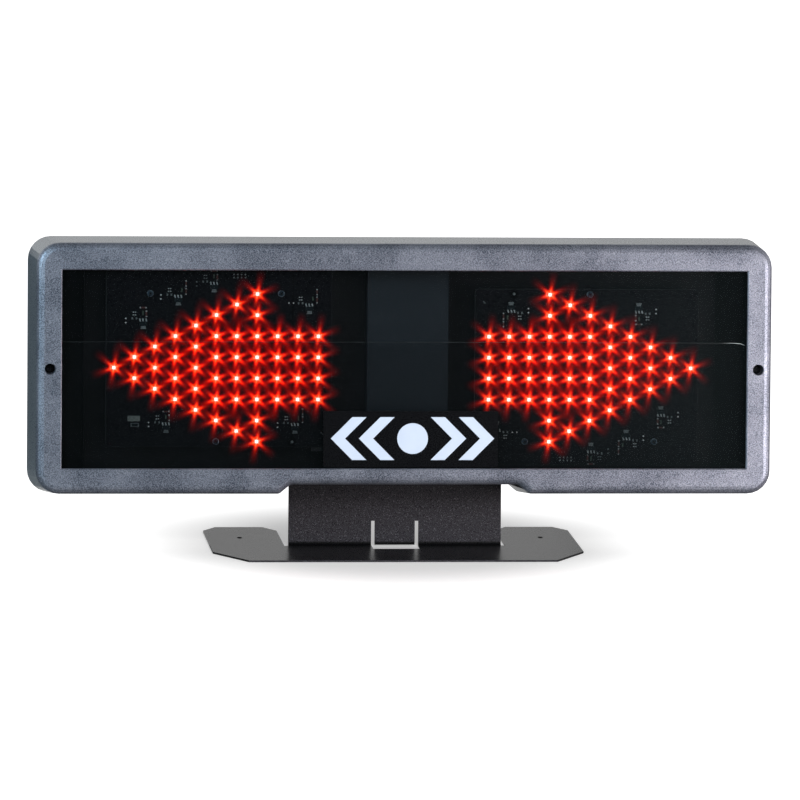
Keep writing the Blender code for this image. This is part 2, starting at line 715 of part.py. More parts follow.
def make_led_boards(finish, case):
    tail = HEAD_COLUMNS + 1 + SHAFT_COLUMNS - ARROW_TIP
    left = -TIP_X - BOARD_MARGIN_TIP
    right = tail * LED_PITCH_X + BOARD_MARGIN_TAIL
    low = ARROW_Z - BARB_Z - BOARD_MARGIN_BOTTOM
    high = ARROW_Z + BARB_Z + BOARD_MARGIN_TOP
    body = box((left, right), (BOARD_FRONT, BOARD_BACK), (low, high))
    leds = [led(*grid(*spot)) for spot in arrow_places()]
    parts = [led_body for led_body, window in leds]
    windows = [window for led_body, window in leds]
    for column, row, width, height, thickness in BOARD_BLOCKS:
        x, z = grid(column, row)
        depth = (BOARD_FRONT - thickness, BOARD_FRONT + LED_ROOT)
        top = min(z + height / 2, high - GAP)
        parts.append(box((x - width / 2, x + width / 2), depth, (z - height / 2, top)))
    body = united(body, joined(parts), joined(windows))
    hole = SMALL_SCREW[2] + SCREW_CLEARANCE
    through = (BOARD_FRONT - PAST, BOARD_BACK + PAST)
    body = cut(body, joined([
        rod(hole, through, *grid(*spot), HOLE_SIDES) for spot in BOARD_SCREWS
    ]))
    body.transform(Matrix.Translation((0, 0, -ARROW_Z)))
    place("left_led_board", body, finish, case, (0, 0, ARROW_Z))
    place("right_led_board", body, finish, case, (0, 0, ARROW_Z), (0, math.pi, 0))


def make_standoffs(finish, case):
    hole = SMALL_SCREW[2] + SCREW_CLEARANCE
    start = BOARD_BACK + GAP
    body = rod(STANDOFF_RADIUS, (start, start + STANDOFF_LENGTH), 0, 0, NUT_SIDES)
    body = cut(body, rod(hole, (start - PAST, start + STANDOFF_LENGTH - PAST), 0, 0, HOLE_SIDES))
    for i, (x, z) in enumerate(board_screw_places(), 1):
        place(f"board_standoff_{i}", body, finish, case, (x, 0, z))


def screw_mesh(sizes, length):
    """A pan-head screw along the depth axis: its head's under side at 0, its shank to length."""
    head, height, shank = sizes
    profile = [
        (0.0, -height),
        (head * HEAD_CROWN, -height),
        (head, -height * HEAD_SKIRT),
        (head, 0.0),
        (shank, 0.0),
        (shank, length),
    ]
    body = turned(profile, SCREW_SIDES)
    half = RECESS_WIDTH / 2
    arm = head * RECESS_REACH
    quarter = ((half, -half), (arm, -half), (arm, half))
    cross = []
    for k in range(4):
        turn = Matrix.Rotation(math.pi / 2 * k, 2)
        cross += [tuple(turn @ Vector(point)) for point in quarter]
    return cut(body, prism(cross, (-height - PAST, RECESS_DEPTH - height)))


def make_screws(finish, dark_finish, case):
    length = BOARD_THICKNESS + 2 * GAP + STANDOFF_LENGTH * STANDOFF_FILL
    board = screw_mesh(SMALL_SCREW, length)
    for i, (x, z) in enumerate(board_screw_places(), 1):
        place(f"board_screw_{i}", board, finish, case, (x, BOARD_FRONT - GAP, z))
    grip = BOSS_HOLE_DEPTH * SCREW_FILL + 2 * GAP
    bezel = screw_mesh(SMALL_SCREW, BEZEL_TUBE_FLOOR + grip)
    seat = BEZEL_TUBE_END - BEZEL_TUBE_FLOOR - GAP
    for name, side in (("bezel_screw_left", -1), ("bezel_screw_right", 1)):
        place(name, bezel, dark_finish, case, (side * BEZEL_SCREW_X, seat, ARROW_Z))
    chassis = screw_mesh(SMALL_SCREW, CHASSIS_THICKNESS + 2 * GAP + POST_HOLE_DEPTH * SCREW_FILL)
    for i, (x, z) in enumerate(post_places(), 1):
        place(f"chassis_screw_{i}", chassis, finish, case, (x, CHASSIS_FRONT - GAP, z))
    cover = screw_mesh(SMALL_SCREW, COVER_THICKNESS + grip)
    for i, (x, z) in enumerate(CORNER_BOSSES + TOP_BOSSES, 1):
        place(f"cover_screw_{i}", cover, dark_finish, case, (x, CASE_DEPTH + GAP, z), (0, 0, math.pi))
    nut_front = COVER_FRONT - GAP - NUT_THICKNESS
    seat = PLATE_FRONT + SHEET + GAP
    stand = screw_mesh(STAND_SCREW, seat - nut_front + NUT_PROUD)
    for i, (x, z) in enumerate(stand_screw_places(), 1):
        place(f"stand_screw_{i}", stand, dark_finish, case, (x, seat, z), (0, 0, math.pi))
    nut = rod(NUT_RADIUS, (nut_front, nut_front + NUT_THICKNESS), 0, 0, NUT_SIDES)
    bore = rod(STAND_SCREW[2] + SCREW_CLEARANCE, (nut_front - PAST, COVER_FRONT), 0, 0, SCREW_SIDES)
    nut = cut(nut, bore)
    for i, (x, z) in enumerate(stand_screw_places(), 1):
        place(f"stand_nut_{i}", nut, finish, case, (x, 0, z))


def make_chassis(finish, case):
    body = box(
        (-CHASSIS_HALF, CHASSIS_HALF),
        (CHASSIS_FRONT, CHASSIS_BACK),
        (CHASSIS_LOW, CHASSIS_HIGH),
    )
    through = (CHASSIS_FRONT - PAST, CHASSIS_BACK + PAST)
    hole = SMALL_SCREW[2] + SCREW_CLEARANCE
    holes = [rod(hole, through, x, z, HOLE_SIDES) for x, z in post_places()]
    holes.append(rod(LEAD_HOLE_RADIUS, through, CENTRE_SHIFT, CONTROL_BOARD_MIDDLE, WIDE_SIDES))
    place("chassis_plate", cut(body, joined(holes)), finish, case)


def make_control_box(cover_finish, board_finish, post_finish, case):
    body = box(
        (-CONTROL_HALF_WIDTH, CONTROL_HALF_WIDTH),
        (CONTROL_FRONT, CONTROL_BACK),
        (CONTROL_LOW, CONTROL_HIGH),
    )
    inner = CONTROL_HALF_WIDTH - CONTROL_WALL
    hollow = box(
        (-inner, inner),
        (CONTROL_FRONT + CONTROL_WALL, CONTROL_BACK + PAST),
        (CONTROL_LOW + CONTROL_WALL, CONTROL_HIGH - CONTROL_WALL),
    )
    half = RIBBON_WIDTH / 2 + RIBBON_SLOT_PLAY
    slot_depth = (
        CONTROL_BOARD_FRONT - GAP - RIBBON_THICKNESS - RIBBON_SLOT_PLAY,
        CONTROL_BACK + PAST,
    )
    reach = CONTROL_HALF_WIDTH + PAST
    slot_height = (RIBBON_Z - half, RIBBON_Z + half)
    slots = [
        box(sorted((side * (inner - PAST), side * reach)), slot_depth, slot_height)
        for side in (-1, 1)
    ]
    middle = (CENTRE_SHIFT, 0, 0)
    place("control_cover", cut(body, hollow, *slots), cover_finish, case, middle)
    top = CONTROL_BOARD_BOTTOM + CONTROL_BOARD_HEIGHT
    board = box(
        (-CONTROL_BOARD_HALF, CONTROL_BOARD_HALF),
        (CONTROL_BOARD_FRONT, CONTROL_BOARD_BACK),
        (CONTROL_BOARD_BOTTOM, top),
    )
    place("control_board", board, board_finish, case, middle)
    start = CONTROL_BOARD_BACK + GAP
    post = rod(CONTROL_STANDOFF_RADIUS, (start, start + CONTROL_STANDOFF_LENGTH), 0, 0)
    inset = 2 * CONTROL_STANDOFF_RADIUS
    low = (CENTRE_SHIFT, 0, CONTROL_BOARD_BOTTOM + inset)
    high = (CENTRE_SHIFT, 0, top - inset)
    for name, spot in (("control_standoff_low", low), ("control_standoff_high", high)):
        place(name, post, post_finish, case, spot)


def make_ribbons(finish, case):
    """Flat cables from the control board, out through the cover's sides and under each board."""
    tail = (HEAD_COLUMNS + 1 + SHAFT_COLUMNS - ARROW_TIP) * LED_PITCH_X
    board_edge = -(tail + BOARD_MARGIN_TAIL)
    high_y = BOARD_BACK + GAP
    low_y = CONTROL_BOARD_FRONT - GAP - RIBBON_THICKNESS
    half = RIBBON_WIDTH / 2
    for name, side in (("left_ribbon_cable", -1), ("right_ribbon_cable", 1)):
        path = (
            (side * (CONTROL_HALF_WIDTH - RIBBON_INSIDE) + CENTRE_SHIFT, low_y),
            (side * (CONTROL_HALF_WIDTH + CONTROL_WALL) + CENTRE_SHIFT, low_y),
            (side * board_edge, high_y),
            (side * (board_edge + RIBBON_REACH), high_y),
        )
        rings = [[(x, y, z) for x, y in path] for z in (RIBBON_Z - half, RIBBON_Z + half)]
        thick = [
            ring + [(x, y + RIBBON_THICKNESS, z) for x, y, z in reversed(ring)] for ring in rings
        ]
        place(name, loft(thick), finish, case)


def make_selector(body_finish, rocker_finish, case):
    width, height, thickness = SELECTOR_FLANGE
    flange_front = CASE_DEPTH + GAP
    flange_back = flange_front + thickness
    body_width, body_height, body_length = SELECTOR_BODY
    body = box((-width / 2, width / 2), (flange_front, flange_back), (-height / 2, height / 2))
    stem = box(
        (-body_width / 2, body_width / 2),
        (flange_front - body_length, flange_front + thickness / 2),
        (-body_height / 2, body_height / 2),
    )
    half_x = body_width / 2 - SELECTOR_WALL
    half_z = body_height / 2 - SELECTOR_WALL
    floor = flange_front - body_length + SELECTOR_FLOOR
    hollow = box((-half_x, half_x), (floor, flange_back + PAST), (-half_z, half_z))
    axis_y = CASE_DEPTH - ROCKER_AXIS_DEPTH
    sockets = upright_rod(SOCKET_RADIUS, body_height + 2 * PAST, axis_y)
    body = cut(united(body, stem), hollow, sockets)
    place("selector_body", body, body_finish, case, (0, 0, SELECTOR_Z))
    reach = half_x - ROCKER_PLAY
    half = half_z - ROCKER_PLAY
    side_top = math.asin(ROCKER_END_HEIGHT / reach)
    side_low = -math.asin(ROCKER_SKIRT / reach)
    rise = (side_top - side_low) / ROCKER_STEPS
    right = [side_low + rise * k for k in range(ROCKER_STEPS + 1)]
    profile = [(reach * math.cos(a), reach * math.sin(a)) for a in right]
    profile.append((0.0, ROCKER_MIDDLE_HEIGHT))
    profile += [(-reach * math.cos(a), reach * math.sin(a)) for a in reversed(right)]
    rocker = loft([[(x, y, z) for x, y in profile] for z in (-half, half)])
    stubs = upright_rod(ROCKER_STUB_RADIUS, 2 * (half + ROCKER_STUB_LENGTH), 0.0)
    place("selector_rocker", united(rocker, stubs), rocker_finish, case, (0, axis_y, SELECTOR_Z))


def upright_rod(radius, length, depth):
    """A rod up the case's height, centred on its middle, at a depth."""
    rings = []
    for z in (-length / 2, length / 2):
        angles = [2 * math.pi * i / POST_SIDES for i in range(POST_SIDES)]
        rings.append([(radius * math.cos(a), depth + radius * math.sin(a), z) for a in angles])
    return loft(rings)


def make_inlet(body_finish, nut_finish, case):
    seat = CASE_DEPTH + GAP
    back = seat + INLET_FLANGE
    bore_end = back - INLET_BORE_DEPTH
    end = seat - INLET_LENGTH
    profile = [
        (0.0, back - INLET_PIN_SHORT),
        (INLET_PIN_RADIUS, back - INLET_PIN_SHORT),
        (INLET_PIN_RADIUS, bore_end),
        (INLET_BORE_RADIUS, bore_end),
        (INLET_BORE_RADIUS, back),
        (INLET_FLANGE_RADIUS, back),
        (INLET_FLANGE_RADIUS, seat),
        (INLET_RADIUS, seat),
        (INLET_RADIUS, end),
        (0.0, end),
    ]
    place("power_inlet", turned(profile, WIDE_SIDES), body_finish, case, (INLET_X, 0, INLET_Z))
    nut_back = COVER_FRONT - GAP
    nut = rod(INLET_NUT_RADIUS, (nut_back - INLET_NUT_THICKNESS, nut_back), 0, 0, NUT_SIDES)
    nut = cut(nut, rod(INLET_RADIUS + GAP, (end, CASE_DEPTH), 0, 0, WIDE_SIDES))
    place("inlet_nut", nut, nut_finish, case, (INLET_X, 0, INLET_Z))


def smooth_route(points, count):
    """Even steps along a Catmull-Rom curve through the points."""
    knots = [Vector(p) for p in points]
    knots = [2 * knots[0] - knots[1]] + knots + [2 * knots[-1] - knots[-2]]
    spans = len(knots) - 3
    route = []
    for i in range(count):
        t = spans * i / (count - 1)
        k = min(int(t), spans - 1)
        t -= k
        a, b, c, d = knots[k:k + 4]
        route.append((
            2 * b + (c - a) * t + (2 * a - 5 * b + 4 * c - d) * t ** 2 + (3 * b - a - 3 * c + d) * t ** 3
        ) / 2)
    return route


def make_lead(name, points, finish, case):
    curve = bpy.data.curves.new(name, "CURVE")
    curve.dimensions = "3D"
    curve.bevel_depth = LEAD_RADIUS
    curve.bevel_resolution = 2
    curve.use_fill_caps = True
    curve.materials.append(finish)
    route = smooth_route(points, LEAD_POINTS)
    spline = curve.splines.new("POLY")
    spline.points.add(len(route) - 1)
    for knot, place_on_route in zip(spline.points, route):
        knot.co = (*place_on_route, 1.0)
    item = bpy.data.objects.new(name, curve)
    bpy.context.scene.collection.objects.link(item)
    item.parent = case


def make_leads(finish, case):
    run = CHASSIS_BACK + LEAD_BEHIND_CHASSIS
    board = CONTROL_BOARD_BACK + GAP
    hole_z = CONTROL_BOARD_MIDDLE
    selector_end = CASE_DEPTH + GAP - SELECTOR_BODY[2] - GAP
    bend = 3 * LEAD_RADIUS
    straight = 2 * LEAD_RADIUS
    selector_x = CENTRE_SHIFT + LEAD_SPACING
    make_lead("selector_lead", (
        (selector_x, selector_end, SELECTOR_Z),
        (selector_x, selector_end - straight, SELECTOR_Z),
        (selector_x, run, SELECTOR_Z - bend),
        (selector_x, run, hole_z + 2 * bend),
        (selector_x, CHASSIS_BACK, hole_z),
        (selector_x, board + straight, hole_z),
        (selector_x, board, hole_z),
    ), finish, case)
    inlet_end = CASE_DEPTH + GAP - INLET_LENGTH - GAP
    power_x = CENTRE_SHIFT - LEAD_SPACING
    make_lead("power_lead", (
        (INLET_X, inlet_end, INLET_Z),
        (INLET_X, inlet_end - straight, INLET_Z),
        (INLET_X + bend, run, INLET_Z + LEAD_RADIUS),
        (power_x - 3 * bend, run, hole_z - bend),
        (power_x, CHASSIS_BACK, hole_z),
        (power_x, board + straight, hole_z),
        (power_x, board, hole_z),
    ), finish, case)


def case_placement():
    """From the case's frame to the world."""
    return Matrix.Translation((0, CASE_Y, SHEET)) @ Matrix.Rotation(-LEAN, 4, "X")


def base_outline():
    """The flat base seen from above, counter-clockwise, without the upright plate."""
    inner = PLATE_HALF + WING_GAP
    outer = inner + WING_WIDTH
    front = BEND_Y - FRONT_REACH
    rear = BEND_Y + REAR_REACH
    bend = BEND_Y - BEND_RADIUS * math.tan((math.pi / 2 - LEAN) / 2)
    right = [
        (outer - FRONT_CHAMFER[0], front),
        (outer, front + FRONT_CHAMFER[1]),
        (outer, rear - REAR_OUTER_CHAMFER[1]),
        (outer - REAR_OUTER_CHAMFER[0], rear),
        (inner + REAR_INNER_CHAMFER[0], rear),
        (inner, rear - REAR_INNER_CHAMFER[1]),
        (inner, bend - RELIEF_DEPTH),
        (PLATE_HALF, bend - RELIEF_DEPTH),
        (PLATE_HALF, bend),
    ]
    return right + [(-x, y) for x, y in reversed(right)], bend


def make_stand(finish):
    outline, bend = base_outline()
    bm = bmesh.new()
    low = [bm.verts.new((x, y, 0)) for x, y in outline]
    high = [bm.verts.new((x, y, SHEET)) for x, y in outline]
    count = len(outline)
    foot_edge = count // 2 - 1
    for i in range(count):
        j = (i + 1) % count
        if i == foot_edge:
            ring = [low[i], low[j], high[j], high[i]]
        else:
            bm.faces.new((low[i], low[j], high[j], high[i]))
    bm.faces.new(low)
    bm.faces.new(high)
    turn = math.pi / 2 - LEAN
    pivot = Vector((0, bend, SHEET + BEND_RADIUS))
    step = Matrix.Rotation(turn / BEND_STEPS, 3, "X")
    up = Vector((0, math.sin(LEAN), math.cos(LEAN)))
    plate_foot = PLATE_FRONT * math.tan(LEAN)
    length = PLATE_TOP - plate_foot - BEND_RADIUS * math.tan(turn / 2)
    for k in range(BEND_STEPS + 1):
        if k < BEND_STEPS:
            places = [pivot + step @ (v.co - pivot) for v in ring]
        else:
            places = [v.co + up * length for v in ring]
        after = [bm.verts.new(p) for p in places]
        for i in range(4):
            j = (i + 1) % 4
            bm.faces.new((ring[i], ring[j], after[j], after[i]))
        ring = after
    bm.faces.new(ring)
    body = to_mesh(bm)
    slot_half = TONGUE_HALF_WIDTH + SLIT_WIDTH
    foot_height = SHEET + BEND_RADIUS * math.tan(turn / 2) * math.cos(LEAN)
    deep = BEND_Y + SHEET + BEND_RADIUS + PAST
    slot = box((-slot_half, slot_half), (BEND_Y - SLOT_REACH, deep), (-PAST, foot_height))
    lean_out = (SLIT_HEIGHT + SHEET) * math.tan(LEAN) + SHEET + BEND_RADIUS
    slits = [
        box(
            sorted((side * TONGUE_HALF_WIDTH, side * slot_half)),
            (BEND_Y - SLOT_REACH / 2, BEND_Y + lean_out + PAST),
            (foot_height - PAST, SHEET + SLIT_HEIGHT),
        )
        for side in (-1, 1)
    ]
    body = cut(body, slot, *slits)
    tongue_half = TONGUE_HALF_WIDTH - TONGUE_SHAVE
    foot = box(
        (-tongue_half, tongue_half),
        (PLATE_FRONT + TONGUE_SHAVE, PLATE_FRONT + SHEET - TONGUE_SHAVE),
        (plate_foot, plate_foot + 2 * BEND_RADIUS),
    )
    foot.transform(case_placement())
    body = united(body, foot)
    half_width = WING_SLOT_WIDTH / 2
    straight = WING_SLOT_LENGTH / 2 - half_width
    wing_x = PLATE_HALF + WING_GAP + WING_SLOT_INSET
    wing_y = BEND_Y + WING_SLOT_BEHIND
    wing_slots = []
    for side in (-1, 1):
        ends = []
        for shift, start in ((straight, 0.0), (-straight, math.pi)):
            for k in range(WING_SLOT_STEPS + 1):
                angle = start + math.pi * k / WING_SLOT_STEPS
                x = side * wing_x + half_width * math.cos(angle)
                ends.append((x, wing_y + shift + half_width * math.sin(angle)))
        wing_slots.append(loft([[(x, y, z) for x, y in ends] for z in (-PAST, SHEET + PAST)]))
    body = cut(body, joined(wing_slots))
    hole = STAND_SCREW[2] + SCREW_CLEARANCE
    drills = joined([
        rod(hole, (PLATE_FRONT - PAST, PLATE_FRONT + SHEET + PAST), x, z, SCREW_SIDES)
        for x, z in stand_screw_places()
    ])
    drills.transform(case_placement())
    place("stand_bracket", cut(body, drills), finish)


def main():
    clear_scene()
    bezel_paint = material("bezel_paint", (0.33, 0.35, 0.42), 0.45, 0.6)
    case_paint = material("case_paint", (0.20, 0.20, 0.20), 0.5)
    stand_coat = material("stand_coat", (0.02, 0.02, 0.022), 0.4)
    lens_smoke = material("lens_smoke", (0.05, 0.06, 0.07), 0.08, alpha=0.4)
    foam = material("foam", (0.02, 0.02, 0.02), 0.9)
    legend_black = material("legend_black", (0.015, 0.015, 0.018), 0.4)
    board_mask = material("board_mask", (0.01, 0.03, 0.02), 0.5)
    plated_steel = material("plated_steel", (0.55, 0.55, 0.53), 0.35, 1.0)
    black_steel = material("black_steel", (0.03, 0.03, 0.03), 0.4, 0.8)
    cover_grey = material("cover_grey", (0.05, 0.06, 0.08), 0.5)
    black_plastic = material("black_plastic", (0.02, 0.02, 0.02), 0.45)
    lead_black = material("lead_black", (0.02, 0.02, 0.02), 0.6)
    ribbon_grey = material("ribbon_grey", (0.3, 0.3, 0.32), 0.6)

    case = bpy.data.objects.new("case_frame", None)
    bpy.context.scene.collection.objects.link(case)
    case.matrix_world = case_placement()

    make_bezel(bezel_paint, case)
    make_lens(lens_smoke, foam, case)
    make_legend(legend_black, case)
    make_shell(case_paint, case)
    make_rear_cover(case_paint, case)
    make_led_boards(board_mask, case)
    make_standoffs(plated_steel, case)
    make_screws(plated_steel, black_steel, case)
    make_chassis(black_steel, case)
    make_control_box(cover_grey, board_mask, black_plastic, case)
    make_ribbons(ribbon_grey, case)
    make_selector(black_plastic, black_plastic, case)
    make_inlet(black_plastic, plated_steel, case)
    make_leads(lead_black, case)
    make_stand(stand_coat)


main()
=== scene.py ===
"""Looks of the possession arrow indicator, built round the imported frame.

Lengths are metres, or millimetres where a comment says so. The case leans back, so its pieces
are drawn in the case's own axes (x to the right, y the depth into the case, z up its front)
and turned into place. Colours are linear.
"""

import json
import math

import bmesh
import bpy
from mathutils import Matrix, Vector


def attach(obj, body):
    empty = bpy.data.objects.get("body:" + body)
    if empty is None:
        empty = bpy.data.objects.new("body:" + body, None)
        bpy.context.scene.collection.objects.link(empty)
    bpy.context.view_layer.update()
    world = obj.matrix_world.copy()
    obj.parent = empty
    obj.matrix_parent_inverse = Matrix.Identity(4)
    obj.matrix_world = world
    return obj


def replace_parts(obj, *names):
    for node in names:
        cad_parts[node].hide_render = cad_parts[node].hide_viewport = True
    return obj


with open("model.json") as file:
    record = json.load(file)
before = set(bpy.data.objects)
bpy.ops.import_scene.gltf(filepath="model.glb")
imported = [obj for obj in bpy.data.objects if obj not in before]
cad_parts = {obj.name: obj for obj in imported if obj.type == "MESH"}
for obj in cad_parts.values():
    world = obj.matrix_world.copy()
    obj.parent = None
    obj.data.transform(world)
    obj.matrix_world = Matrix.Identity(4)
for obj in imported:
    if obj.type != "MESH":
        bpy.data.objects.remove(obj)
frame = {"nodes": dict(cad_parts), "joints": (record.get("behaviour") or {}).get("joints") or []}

MM = 0.001

# The case's lean is that of the rocker's axis
AXIS = Vector(frame["joints"][0]["axis"])
LEAN = math.atan2(AXIS.y, AXIS.z)
TO_WORLD = Matrix.Rotation(-LEAN, 4, "X")
TO_CASE = TO_WORLD.inverted()

# LED arrows, as in the part's source. Columns and rows are in pitches, and ARROW_TIP is how
# far the left arrow's tip lies from the case's middle.
LED_PITCH_X = 12.7 * MM
LED_PITCH_Z = 13.1 * MM
ARROW_TIP = 14.2
HEAD_COLUMNS = 6
NOTCHED_ROWS = (-3.0, -1.5, -0.5, 0.5, 1.5, 3.0)
BARB_ROWS = (-3.5, -2.5, -1.5, -0.5, 0.5, 1.5, 2.5, 3.5)
SHAFT_ROWS = (-1.5, -0.5, 0.5, 1.5)
SHAFT_COLUMNS = 3

# LED boards
BOARD_THICKNESS = 1.6 * MM
BOARD_CORNER = 2.5 * MM
BOARD_RIM = 0.35 * MM         # strip along the board's edge without mask
RIM_STEP = 0.05 * MM          # how far that strip slopes back

# The numbers say which of the board's finishes a face has
MASK, RIM, BRIGHT, SOLDER, DULL, BODY, RESISTOR, CAPACITOR, PAPER, LED, LIT, HOLE_PAINTED_SHADE = range(12)

# What is on a board, in millimetres. Places are on the left board, from the point midway
# between the arrows, and the right board is the left one turned half round it. HEADER, LABEL
# and CHIP give the lowest and highest x, then z, and GROOVE its middle, width and height.
LED_SIZE = (3.2, 2.8)
LED_DEPTH = 1.9
LED_BEVEL = 0.15
LED_WINDOW = 1.2
LED_PAD = (0.7, 2.2)
LED_PAD_ASIDE = 1.9
LED_PAD_DEPTH = 0.12
PAD_DEPTH = 0.3
CHIP_DEPTH = 0.4              # of the small body between two pads
HEADER = (-105.9, -98.8, 55.9, 57.8)
HEADER_PINS = (4, 2)
LABEL = (-171.6, -163.8, -33.4, -30.0)
CHIP = (-169.7, -164.5, -36.8, -34.5)
CHIP_INSET = (1.2, 0.5)       # how much smaller its top is, in width and height
GROOVE = (-69.1, 5.5, 0.7, 105.0)
PIN = (-69.1, -46.2)
SPECKS = ((-50.9, -40.5), (-50.1, -41.3))

# A driver's package, in millimetres. The tab's two steps, the body and a lead each have
# their height over the tab, width, height and depth.
TAB_STEPS = ((0.5, 2.7, 0.95, 0.5), (-0.5, 3.3, 0.85, 0.25))
DRIVER_BODY = (2.4, 4.6, 2.8, 1.3)
DRIVER_BEVEL = 0.25
LEAD = (4.7, 0.8, 1.8, 0.4)
LEAD_PLACES = (-2.1, -0.2, 1.8)
LEAD_SLANT = 0.22

# Pairs of pads round a driver, in millimetres from its tab: x, z, spacing, whether one pad is
# above the other, a pad's width and height, the pads' finish, and that of the body between
# them. Pads whose finish is None have the driver's solder, and a body of None isn't there.
STACKED = (
    (2.1, 8.6, 1.8, True, 0.9, 0.9, CAPACITOR, CAPACITOR),
    (4.7, 7.8, 3.5, True, 0.85, 0.7, None, RESISTOR),
    (4.7, 12.7, 3.2, True, 0.85, 0.7, None, RESISTOR),
)
CORNERED = (
    (-0.2, 9.0, 1.8, True, 0.9, 0.9, CAPACITOR, CAPACITOR),
    (1.9, 8.45, 3.3, True, 0.95, 0.8, None, RESISTOR),
    (-0.1, 12.35, 3.6, False, 0.8, 0.9, None, RESISTOR),
)
BARE_PAIRS = (
    (-5.5, 9.5, 1.3, False, 0.85, 0.65, None, None),
    (-5.5, 7.8, 1.3, False, 0.95, 0.65, None, None),
    (-5.6, 5.7, 2.5, False, 0.95, 1.3, DULL, None),
)
OUTER = (-10.9, 4.3, 2.55, True, 0.85, 0.75, BRIGHT, None)
OUTER_DULL = (-10.9, 4.3, 2.55, True, 0.85, 0.75, DULL, None)
OUTER_LEVEL = (-11.4, 5.85, 2.85, False, 0.75, 0.85, BRIGHT, None)

# Drivers: x and z of the tab, solder, resistors, and the outermost pair of pads
DRIVERS = (
    (-162.1, 24.8, SOLDER, CORNERED, OUTER),
    (-140.4, 39.5, SOLDER, STACKED, OUTER),
    (-118.2, 47.65, DULL, CORNERED, OUTER_DULL),
    (-58.8, 34.3, SOLDER, STACKED, OUTER_LEVEL),
    (-147.6, -39.7, SOLDER, CORNERED, OUTER),
    (-67.3, -40.1, SOLDER, STACKED, OUTER),
)

# Board screws
BOARD_SCREW_COUNT = 6
SCREW_HEAD = 2.1 * MM         # radius
SCREW_ARM = 1.25 * MM         # of the cross recess, from its middle
SCREW_ARM_HALF = 0.34 * MM    # half its width
SCREW_INNER = 1.15            # where two arms meet, in half widths
SCREW_TURN = 0.5              # radians
# the side's finish is a painted highlight and the hole's a painted shade
SCREW_SIDE_PAINTED_HIGHLIGHT, SCREW_HOLE_PAINTED_SHADE, SCREW_TOP = range(3)
# Each ring of the head: its share of the radius, and how far it is from the top to the seat
SCREW_RINGS = ((1.0, 1.0), (1.0, 0.55), (0.8, 0.12), (0.62, 0.0))
SCREW_SHANK = (0.35, 0.45)    # share of the radius at its end and under the head
SCREW_RECESS = (0.7, 0.75)    # the cross's size at its bottom, and how deep that is

# Star of painted light round each LED, glowing on flat cards just in front of the LEDs
STAR_REACH = 16.2 * MM
STAR_HALO = 7.3 * MM
STAR_TAIL_HALF = 2.9 * MM
STAR_RAYS = 6
STAR_TURN = math.radians(20)
STAR_STEP = math.radians(60)
STAR_LAYER = 0.02 * MM        # each star lies this much in front of the last
CROWD_REACH = 1.2             # in pitches, how near another LED must be to count
CROWD_COUNT = 7               # LEDs that near, its own among them, make a crowd
CROWD_BOOST = 1.6             # in a crowd the rays are this much brighter

# The star's profile, in millimetres from its middle. A fade has its start, its end and its
# strength, 1 where none is given, and a decay its strength and the length for a fall to a third.
CORE_FADE = (0.8, 1.15)
ROOT_FADE = (2.5, 6.0, 0.6)
TAIL_DECAY = (3.3, 2.42)
TAIL_FADE = (12.5, 16.2)
TAIL_WIDTH = (4.0, 12.0, 0.95, 2.1)    # two distances, then the ray's width at each
LINE_WIDTH = 0.42
RED_HALO = (1.7, 3.9)
RED_OUTER_HALO = (3.3, 6.5, 0.05)
GREEN_HALO = (1.9, 3.7, 0.05)
GREEN_DECAY = (0.7, 1.4)
BLUE_HALO = (1.2, 2.9, 0.015)
BLUE_DECAY = (0.75, 0.85)
BRIGHTEST = (0.97, 1.0, 0.97)

# Pane
LENS_ALPHA = 0.3              # of each face, above the seam
LENS_ALPHA_LOW = 0.37         # and below it
LENS_ALPHA_SPREAD = 0.008     # by which the alpha varies each way
PAINTED_SHEEN_END = 190 * MM           # where the painted sheen, paler from the middle to the right, is full
SEAM_RISE = 16.6 * MM         # above the arrows' middle
SEAM_SOFT = 0.1 * MM          # half the height over which the alpha changes
SEAM_WIDTH = 0.25 * MM
SEAM_PROUD = (0.06 * MM, 0.01 * MM)    # how far its front and its back are before the pane
SEAM_PAINTED_GLINT = (196 * MM, 211 * MM)     # from where to where it turns brighter, a painted glint at the seam's right end
# The seam's path, in millimetres: x, and height over SEAM_RISE
SEAM_PATH = (
    (-213.0, 0.0),
    (-150.0, 0.05),
    (0.0, 0.1),
    (150.0, 0.0),
    (206.0, -0.15),
    (210.0, -0.5),
    (212.6, -1.5),
)

# Mark on the legend plate, from the case's middle and the arrows' middle
MARK_MIDDLE = (4.7 * MM, -43.1 * MM)
MARK_HALF = (51.0 * MM, 13.35 * MM)
MARK_BAND = 8.88 * MM         # a chevron's width along x
MARK_DISC = 9.6 * MM
MARK_STEP = 17.5 * MM
MARK_THICKNESS = 0.12 * MM

# How far the shell's dark inside is from its outline, and how much its corners are cut
INSIDE_SIDE = 5.5 * MM
INSIDE_TOP = 5 * MM
INSIDE_REAR = 2.2 * MM
INSIDE_CORNER = 9 * MM

# Noise: where most of its values lie, and a tighter span for clouds and the bezel's flakes
SPAN = (0.3, 0.7)
TIGHT_SPAN = (0.35, 0.65)

